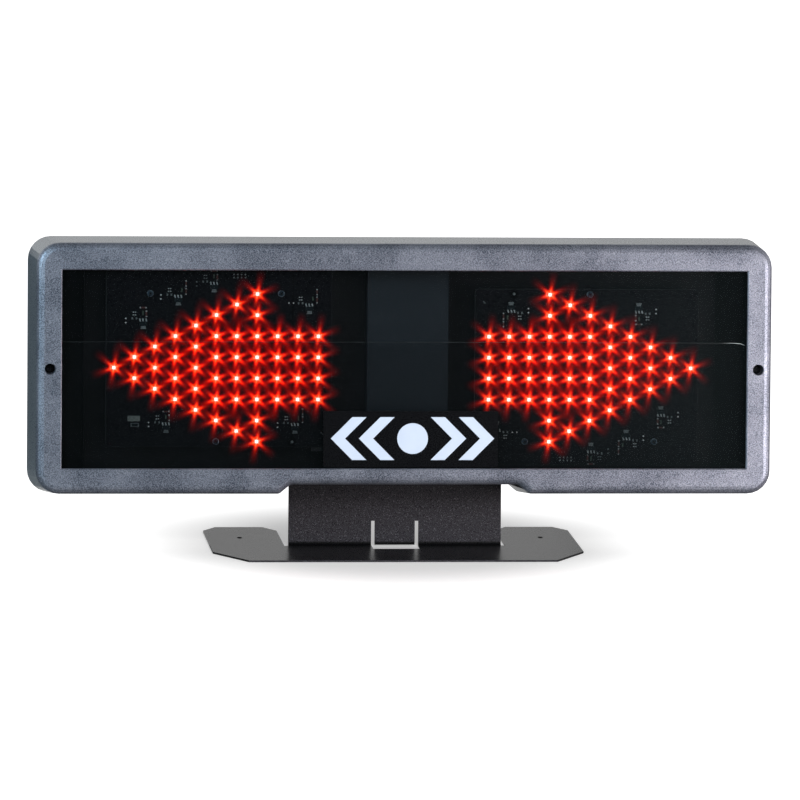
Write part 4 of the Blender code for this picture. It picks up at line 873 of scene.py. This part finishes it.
class BoardMaker:
    """Draws parts on a board, at places in millimetres from the point between the arrows."""

    def __init__(self, side):
        self.side = side
        self.bm = bmesh.new()

    def part(self, x, z, width, height, depth, index, bevel=0.08):
        xs = sorted(self.side * (x + k * width / 2) * MM for k in (-1, 1))
        zs = sorted(ARROW_Z + self.side * (z + k * height / 2) * MM for k in (-1, 1))
        slab(self.bm, xs, (BOARD_FRONT - depth * MM, BOARD_FRONT), zs, index, bevel * MM)

    def block(self, area, depth, index, bevel, inset=(0.0, 0.0)):
        """A part that fills an area, or is this much smaller."""
        x0, x1, z0, z1 = area
        middle = ((x0 + x1) / 2, (z0 + z1) / 2)
        self.part(*middle, x1 - x0 - inset[0], z1 - z0 - inset[1], depth, index, bevel)

    def slanted(self, x, z, width, height, depth, index, lean=0.0):
        points = [
            (x - width / 2 + lean, z - height / 2),
            (x + width / 2 + lean, z - height / 2),
            (x + width / 2 - lean, z + height / 2),
            (x - width / 2 - lean, z + height / 2),
        ]
        placed = [(self.side * a * MM, ARROW_Z + self.side * b * MM) for a, b in points]
        outline(self.bm, placed, (BOARD_FRONT - depth * MM, BOARD_FRONT), index)

    def disc(self, x, z, radius, depth, index, sides):
        points = circle(self.side * x * MM, ARROW_Z + self.side * z * MM, radius * MM, sides)
        outline(self.bm, points, (BOARD_FRONT - depth * MM, BOARD_FRONT), index)

    def chip_pair(self, x, z, gap, upright, width, height, index, body=None):
        """Two solder pads of a small component, and its body between them."""
        for k in (-1, 1):
            if upright:
                self.part(x, z + k * gap / 2, width, height, PAD_DEPTH, index)
            else:
                self.part(x + k * gap / 2, z, width, height, PAD_DEPTH, index)
        if body is not None:
            if upright:
                self.part(x, z, width, gap - height, CHIP_DEPTH, body)
            else:
                self.part(x, z, gap - width, height, CHIP_DEPTH, body)

    def led(self, x, z):
        for k in (-1, 1):
            self.part(x + k * LED_PAD_ASIDE, z, *LED_PAD, LED_PAD_DEPTH, SOLDER, bevel=0.0)
        self.part(x, z, *LED_SIZE, LED_DEPTH, LED, LED_BEVEL)
        middle = (self.side * x * MM, ARROW_Z + self.side * z * MM)
        points = circle(*middle, LED_WINDOW * MM, sides=14)
        outline(self.bm, points, (LED_FRONT, BOARD_FRONT - LED_DEPTH * MM), LIT)

    def driver(self, x, z, solder, resistors, outer):
        """One LED driver: a tab package, its three leads, and the small parts round it."""
        for rise, width, height, depth in TAB_STEPS:
            self.slanted(x, z + rise, width, height, depth, DULL)
        rise, width, height, depth = DRIVER_BODY
        self.part(x, z + rise, width, height, depth, BODY, DRIVER_BEVEL)
        rise, width, height, depth = LEAD
        for offset in LEAD_PLACES:
            self.slanted(x + offset, z + rise, width, height, depth, SOLDER, LEAD_SLANT)
        for aside, rise, gap, upright, width, height, index, body in (*resistors, *BARE_PAIRS, outer):
            if index is None:
                index = solder
            self.chip_pair(x + aside, z + rise, gap, upright, width, height, index, body)


def make_board(name, node_name, side, finishes):
    """One LED board: plate, LEDs, driver circuits and the small parts."""
    board = BoardMaker(side)
    low, high = case_box(node_name)
    xs, zs = (low.x, high.x), (low.z, high.z)
    inner_xs = (low.x + BOARD_RIM, high.x - BOARD_RIM)
    inner_zs = (low.z + BOARD_RIM, high.z - BOARD_RIM)
    rings = [
        [(x, BOARD_BACK, z) for x, z in rounded(xs, zs, BOARD_CORNER)],
        [(x, BOARD_FRONT + RIM_STEP, z) for x, z in rounded(xs, zs, BOARD_CORNER)],
        [(x, BOARD_FRONT, z) for x, z in rounded(inner_xs, inner_zs, BOARD_CORNER - BOARD_RIM)],
    ]
    loops(board.bm, rings, (MASK, RIM, RIM, MASK))
    for column, row in arrow_places():
        board.led(column * LED_PITCH_X / MM, row * LED_PITCH_Z / MM)
    for driver in DRIVERS:
        board.driver(*driver)
    x0, x1, z0, z1 = HEADER
    columns, rows = HEADER_PINS
    for i in range(columns):
        for j in range(rows):
            x = x0 + (x1 - x0) * i / (columns - 1)
            z = z0 + (z1 - z0) * j / (rows - 1)
            board.disc(x, z, radius=0.55, depth=0.15, index=DULL, sides=10)
    if side > 0:
        board.block(LABEL, depth=0.15, index=PAPER, bevel=0.05)
        board.block(CHIP, depth=1.1, index=DULL, bevel=0.2)
        board.block(CHIP, depth=1.15, index=BODY, bevel=0.1, inset=CHIP_INSET)
    # the groove and the ring round the pin are flat dark patches, painted shade where the board is
    # cut
    board.part(*GROOVE, depth=0.04, index=HOLE_PAINTED_SHADE, bevel=0.0)
    board.disc(*PIN, radius=3.0, depth=0.06, index=HOLE_PAINTED_SHADE, sides=20)
    board.disc(*PIN, radius=0.8, depth=1.2, index=DULL, sides=12)
    for x, z in SPECKS:
        board.disc(x, z, radius=0.45, depth=0.15, index=DULL, sides=8)
    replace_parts(piece(name, board.bm, finishes), node_name)


def make_board_screw(name, node_name, finishes):
    """A pan head with a cross recess, on its shank."""
    low, high = case_box(node_name)
    x, z = (low.x + high.x) / 2, (low.z + high.z) / 2
    half = min(SCREW_HEAD, (high.x - low.x) / 2)
    top, seat = low.y, BOARD_FRONT
    cross = []
    for k in range(4):
        angle = k * math.pi / 2 + SCREW_TURN
        ahead = Vector((math.cos(angle), math.sin(angle)))
        aside = Vector((-ahead.y, ahead.x))
        cross += [
            ahead * SCREW_ARM - aside * SCREW_ARM_HALF,
            ahead * SCREW_ARM + aside * SCREW_ARM_HALF,
            (ahead + aside) * SCREW_ARM_HALF * SCREW_INNER,
        ]
    outer = [tip.normalized() for tip in cross]

    def ring(points, scale, depth):
        return [(x + p.x * scale, depth, z + p.y * scale) for p in points]

    rings = [
        ring(outer, half * SCREW_SHANK[0], high.y),
        ring(outer, half * SCREW_SHANK[1], seat),
    ]
    rings += [ring(outer, half * share, top + (seat - top) * down) for share, down in SCREW_RINGS]
    rings += [
        ring(cross, 1.0, top),
        ring(cross, SCREW_RECESS[0], top + (seat - top) * SCREW_RECESS[1]),
    ]
    bm = bmesh.new()
    loops(bm, rings, (SCREW_SIDE_PAINTED_HIGHLIGHT,) * 5 + (SCREW_TOP,) * 2 + (SCREW_HOLE_PAINTED_SHADE,) * 2)
    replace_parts(piece(name, bm, finishes), node_name)


def make_mark(finish):
    """A plain mark: two chevrons each way and a disc between them."""
    bm = bmesh.new()
    middle_x, middle_z = MARK_MIDDLE[0], ARROW_Z + MARK_MIDDLE[1]
    half_x, half_z = MARK_HALF
    depths = (LEGEND_FRONT - MARK_THICKNESS, LEGEND_FRONT)
    outline(bm, circle(middle_x, middle_z, MARK_DISC, sides=48), depths)
    for side in (-1, 1):
        for k in range(2):
            tip = half_x - k * MARK_STEP
            root = tip - half_z
            points = [
                (tip, 0.0),
                (root, half_z),
                (root - MARK_BAND, half_z),
                (tip - MARK_BAND, 0.0),
                (root - MARK_BAND, -half_z),
                (root, -half_z),
            ]
            outline(bm, [(middle_x + side * a, middle_z + b) for a, b in points], depths)
    piece("legend_mark", bm, [finish])


def make_seam(finish):
    """The thin line across the pane, bent down at its right end."""
    bm = bmesh.new()
    half = SEAM_WIDTH / 2
    upper = [(x * MM, SEAM_Z + z * MM + half) for x, z in SEAM_PATH]
    lower = [(x * MM, SEAM_Z + z * MM - half) for x, z in reversed(SEAM_PATH)]
    outline(bm, upper + lower, (LENS_FRONT - SEAM_PROUD[0], LENS_FRONT - SEAM_PROUD[1]))
    piece("lens_seam", bm, [finish])


# Studio

def flat_corners(x_range, y_range, z):
    (x0, x1), (y0, y1) = x_range, y_range
    return [(x0, y0, z), (x1, y0, z), (x1, y1, z), (x0, y1, z)]


def upright_corners(x, y_range):
    y0, y1 = y_range
    return [(x, y0, 0), (x, y1, 0), (x, y1, CARD_TOP), (x, y0, CARD_TOP)]


def add_face(name, corners, finish):
    """An object of one face."""
    bm = bmesh.new()
    bm.faces.new([bm.verts.new(corner) for corner in corners])
    return add_mesh(name, bm, [finish])


def make_backdrop():
    """A pale floor that glows white away from the object and keeps its shadow; close to the object
    its glow is lower, a painted shade round it.
    """
    made, tree, shader = principled("floor_white", roughness=0.9, specular=0.0)
    fine = noise(tree, FLOOR_GRAIN)
    feed(tree, shader.inputs["Base Color"], blend_colour(tree, fine, *FLOOR_COLOURS))
    rays = node(tree, "LightPath").outputs
    seen = largest(tree, rays["Is Camera Ray"], rays["Is Glossy Ray"], rays["Is Transmission Ray"])
    away = node(tree, "VectorMath", {0: position(tree)}, operation="LENGTH").outputs["Value"]
    # lower glow close to the object: a painted shade round it, on top of its real shadow
    glow = ramp(tree, away, *FLOOR_PAINTED_SHADE_REACH, FLOOR_PAINTED_SHADE_GLOW, 1.0)
    shader.inputs["Emission Color"].default_value = WHITE
    feed(tree, shader.inputs["Emission Strength"], times(tree, seen, glow))
    floor = add_face("floor", flat_corners(FLOOR_REACH, FLOOR_REACH, 0), made)
    return floor


def make_card(name, corners, finish):
    """A card that is seen only in mirror reflections."""
    card = add_face(name, corners, finish)
    card.visible_camera = False
    card.visible_diffuse = False
    card.visible_shadow = False


def make_cards():
    """Black cards beside the object and on the floor before it, and a grey one at its left foot."""
    black = grainy("card_black", (0.008, 0.01, 0.012), (0.014, 0.016, 0.02),
                   grain=5, relief=0.01, roughness=0.9)
    grey = grainy("card_grey", (0.3, 0.3, 0.3), (0.36, 0.36, 0.36),
                  grain=5, relief=0.01, roughness=0.9)
    make_card("left_card", upright_corners(*LEFT_CARD), black)
    make_card("right_card", upright_corners(*RIGHT_CARD), black)
    make_card("floor_card", flat_corners(*FLOOR_CARD, CARD_LIFT), grey)
    make_card("front_card", flat_corners(*FRONT_CARD, CARD_LIFT), black)
    make_card("far_card", flat_corners(*FAR_CARD, CARD_LIFT), black)


def make_world():
    """White to the camera; mirrors see a bright horizon behind and a dim room elsewhere."""
    world = bpy.data.worlds.new("studio")
    bpy.context.scene.world = world
    world.use_nodes = True
    tree = world.node_tree
    rays = node(tree, "LightPath").outputs
    mirror = largest(tree, rays["Is Glossy Ray"], rays["Is Transmission Ray"])
    where = node(tree, "TexCoord").outputs["Generated"]
    way = node(tree, "SeparateXYZ", {"Vector": where})
    seen = times(
        tree,
        ramp(tree, way.outputs["Y"], *FRONT_TO_REAR, FRONT_DIM, 1.0),
        ramp(tree, way.outputs["Z"], *SKY_RISE, 1.0, SKY_DIM),
        ramp(tree, way.outputs["Z"], *TOP_RISE, 1.0, TOP_DIM),
    )
    soft = ramp(tree, way.outputs["Z"], *SOFT_RISE, SOFT_LOW, SOFT_HIGH)
    strength = total(
        tree,
        times(tree, mirror, seen),
        times(tree, maths(tree, "SUBTRACT", 1.0, mirror), soft),
    )
    background = tree.nodes["Background"]
    background.inputs["Color"].default_value = WHITE
    feed(tree, background.inputs["Strength"], largest(tree, strength, rays["Is Camera Ray"]))


def make_lamp(name, place, aim, size, power, colour):
    lamp = bpy.data.lights.new(name, "AREA")
    lamp.shape = "RECTANGLE"
    lamp.size, lamp.size_y = size
    lamp.energy = power
    lamp.color = colour
    item = add_object(name, lamp)
    item.location = place
    item.rotation_euler = (Vector(aim) - Vector(place)).to_track_quat("-Z", "Y").to_euler()
    return item


def make_lamps(floor):
    """A soft key lamp in front, and one at each side that lights the object but not the floor."""
    key = make_lamp("lamp_key", *KEY_LAMP)
    key.visible_glossy = False
    right = make_lamp("lamp_right", *RIGHT_LAMP)
    left = make_lamp("lamp_left", *LEFT_LAMP)
    spared = bpy.data.collections.new("spared_by_side_lamps")
    spared.objects.link(floor)
    spared.collection_objects[0].light_linking.link_state = "EXCLUDE"
    for lamp in (right, left):
        lamp.light_linking.receiver_collection = spared


def make_camera():
    data = bpy.data.cameras.new("camera")
    data.lens = CAMERA_LENS
    data.clip_start, data.clip_end = CAMERA_CLIP
    item = add_object("camera", data)
    turn = (
        Matrix.Rotation(-CAMERA_YAW, 4, "Z")
        @ Matrix.Rotation(math.pi / 2 - CAMERA_PITCH, 4, "X")
        @ Matrix.Rotation(CAMERA_ROLL, 4, "Z")
    )
    item.matrix_world = Matrix.Translation(CAMERA_PLACE) @ turn
    bpy.context.scene.camera = item


def dress_nodes(finishes):
    """Give each CAD node the finish of its material slot."""
    for item in frame["nodes"].values():
        for holder in item.material_slots:
            holder.material = finishes[holder.material.name.split(".")[0]]


def main():
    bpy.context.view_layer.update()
    bpy.context.scene.view_settings.view_transform = "Standard"
    mask = board_mask()
    dress_nodes(node_finishes(mask))
    finishes = board_finishes(mask)
    make_board("left_led_board_dressed", "left_led_board", 1, finishes)
    make_board("right_led_board_dressed", "right_led_board", -1, finishes)
    finishes = screw_finishes()
    for i in range(1, BOARD_SCREW_COUNT + 1):
        make_board_screw(f"board_screw_{i}_dressed", f"board_screw_{i}", finishes)
    glows = [star_glow("led_star_glow", 1.0), star_glow("led_star_glow_crowded", CROWD_BOOST)]
    make_stars("left_arrow_rays", 1, glows)
    make_stars("right_arrow_rays", -1, glows)
    make_mark(lit_mark())
    make_seam(seam_strip())
    floor = make_backdrop()
    make_cards()
    make_world()
    make_lamps(floor)
    make_camera()


main()
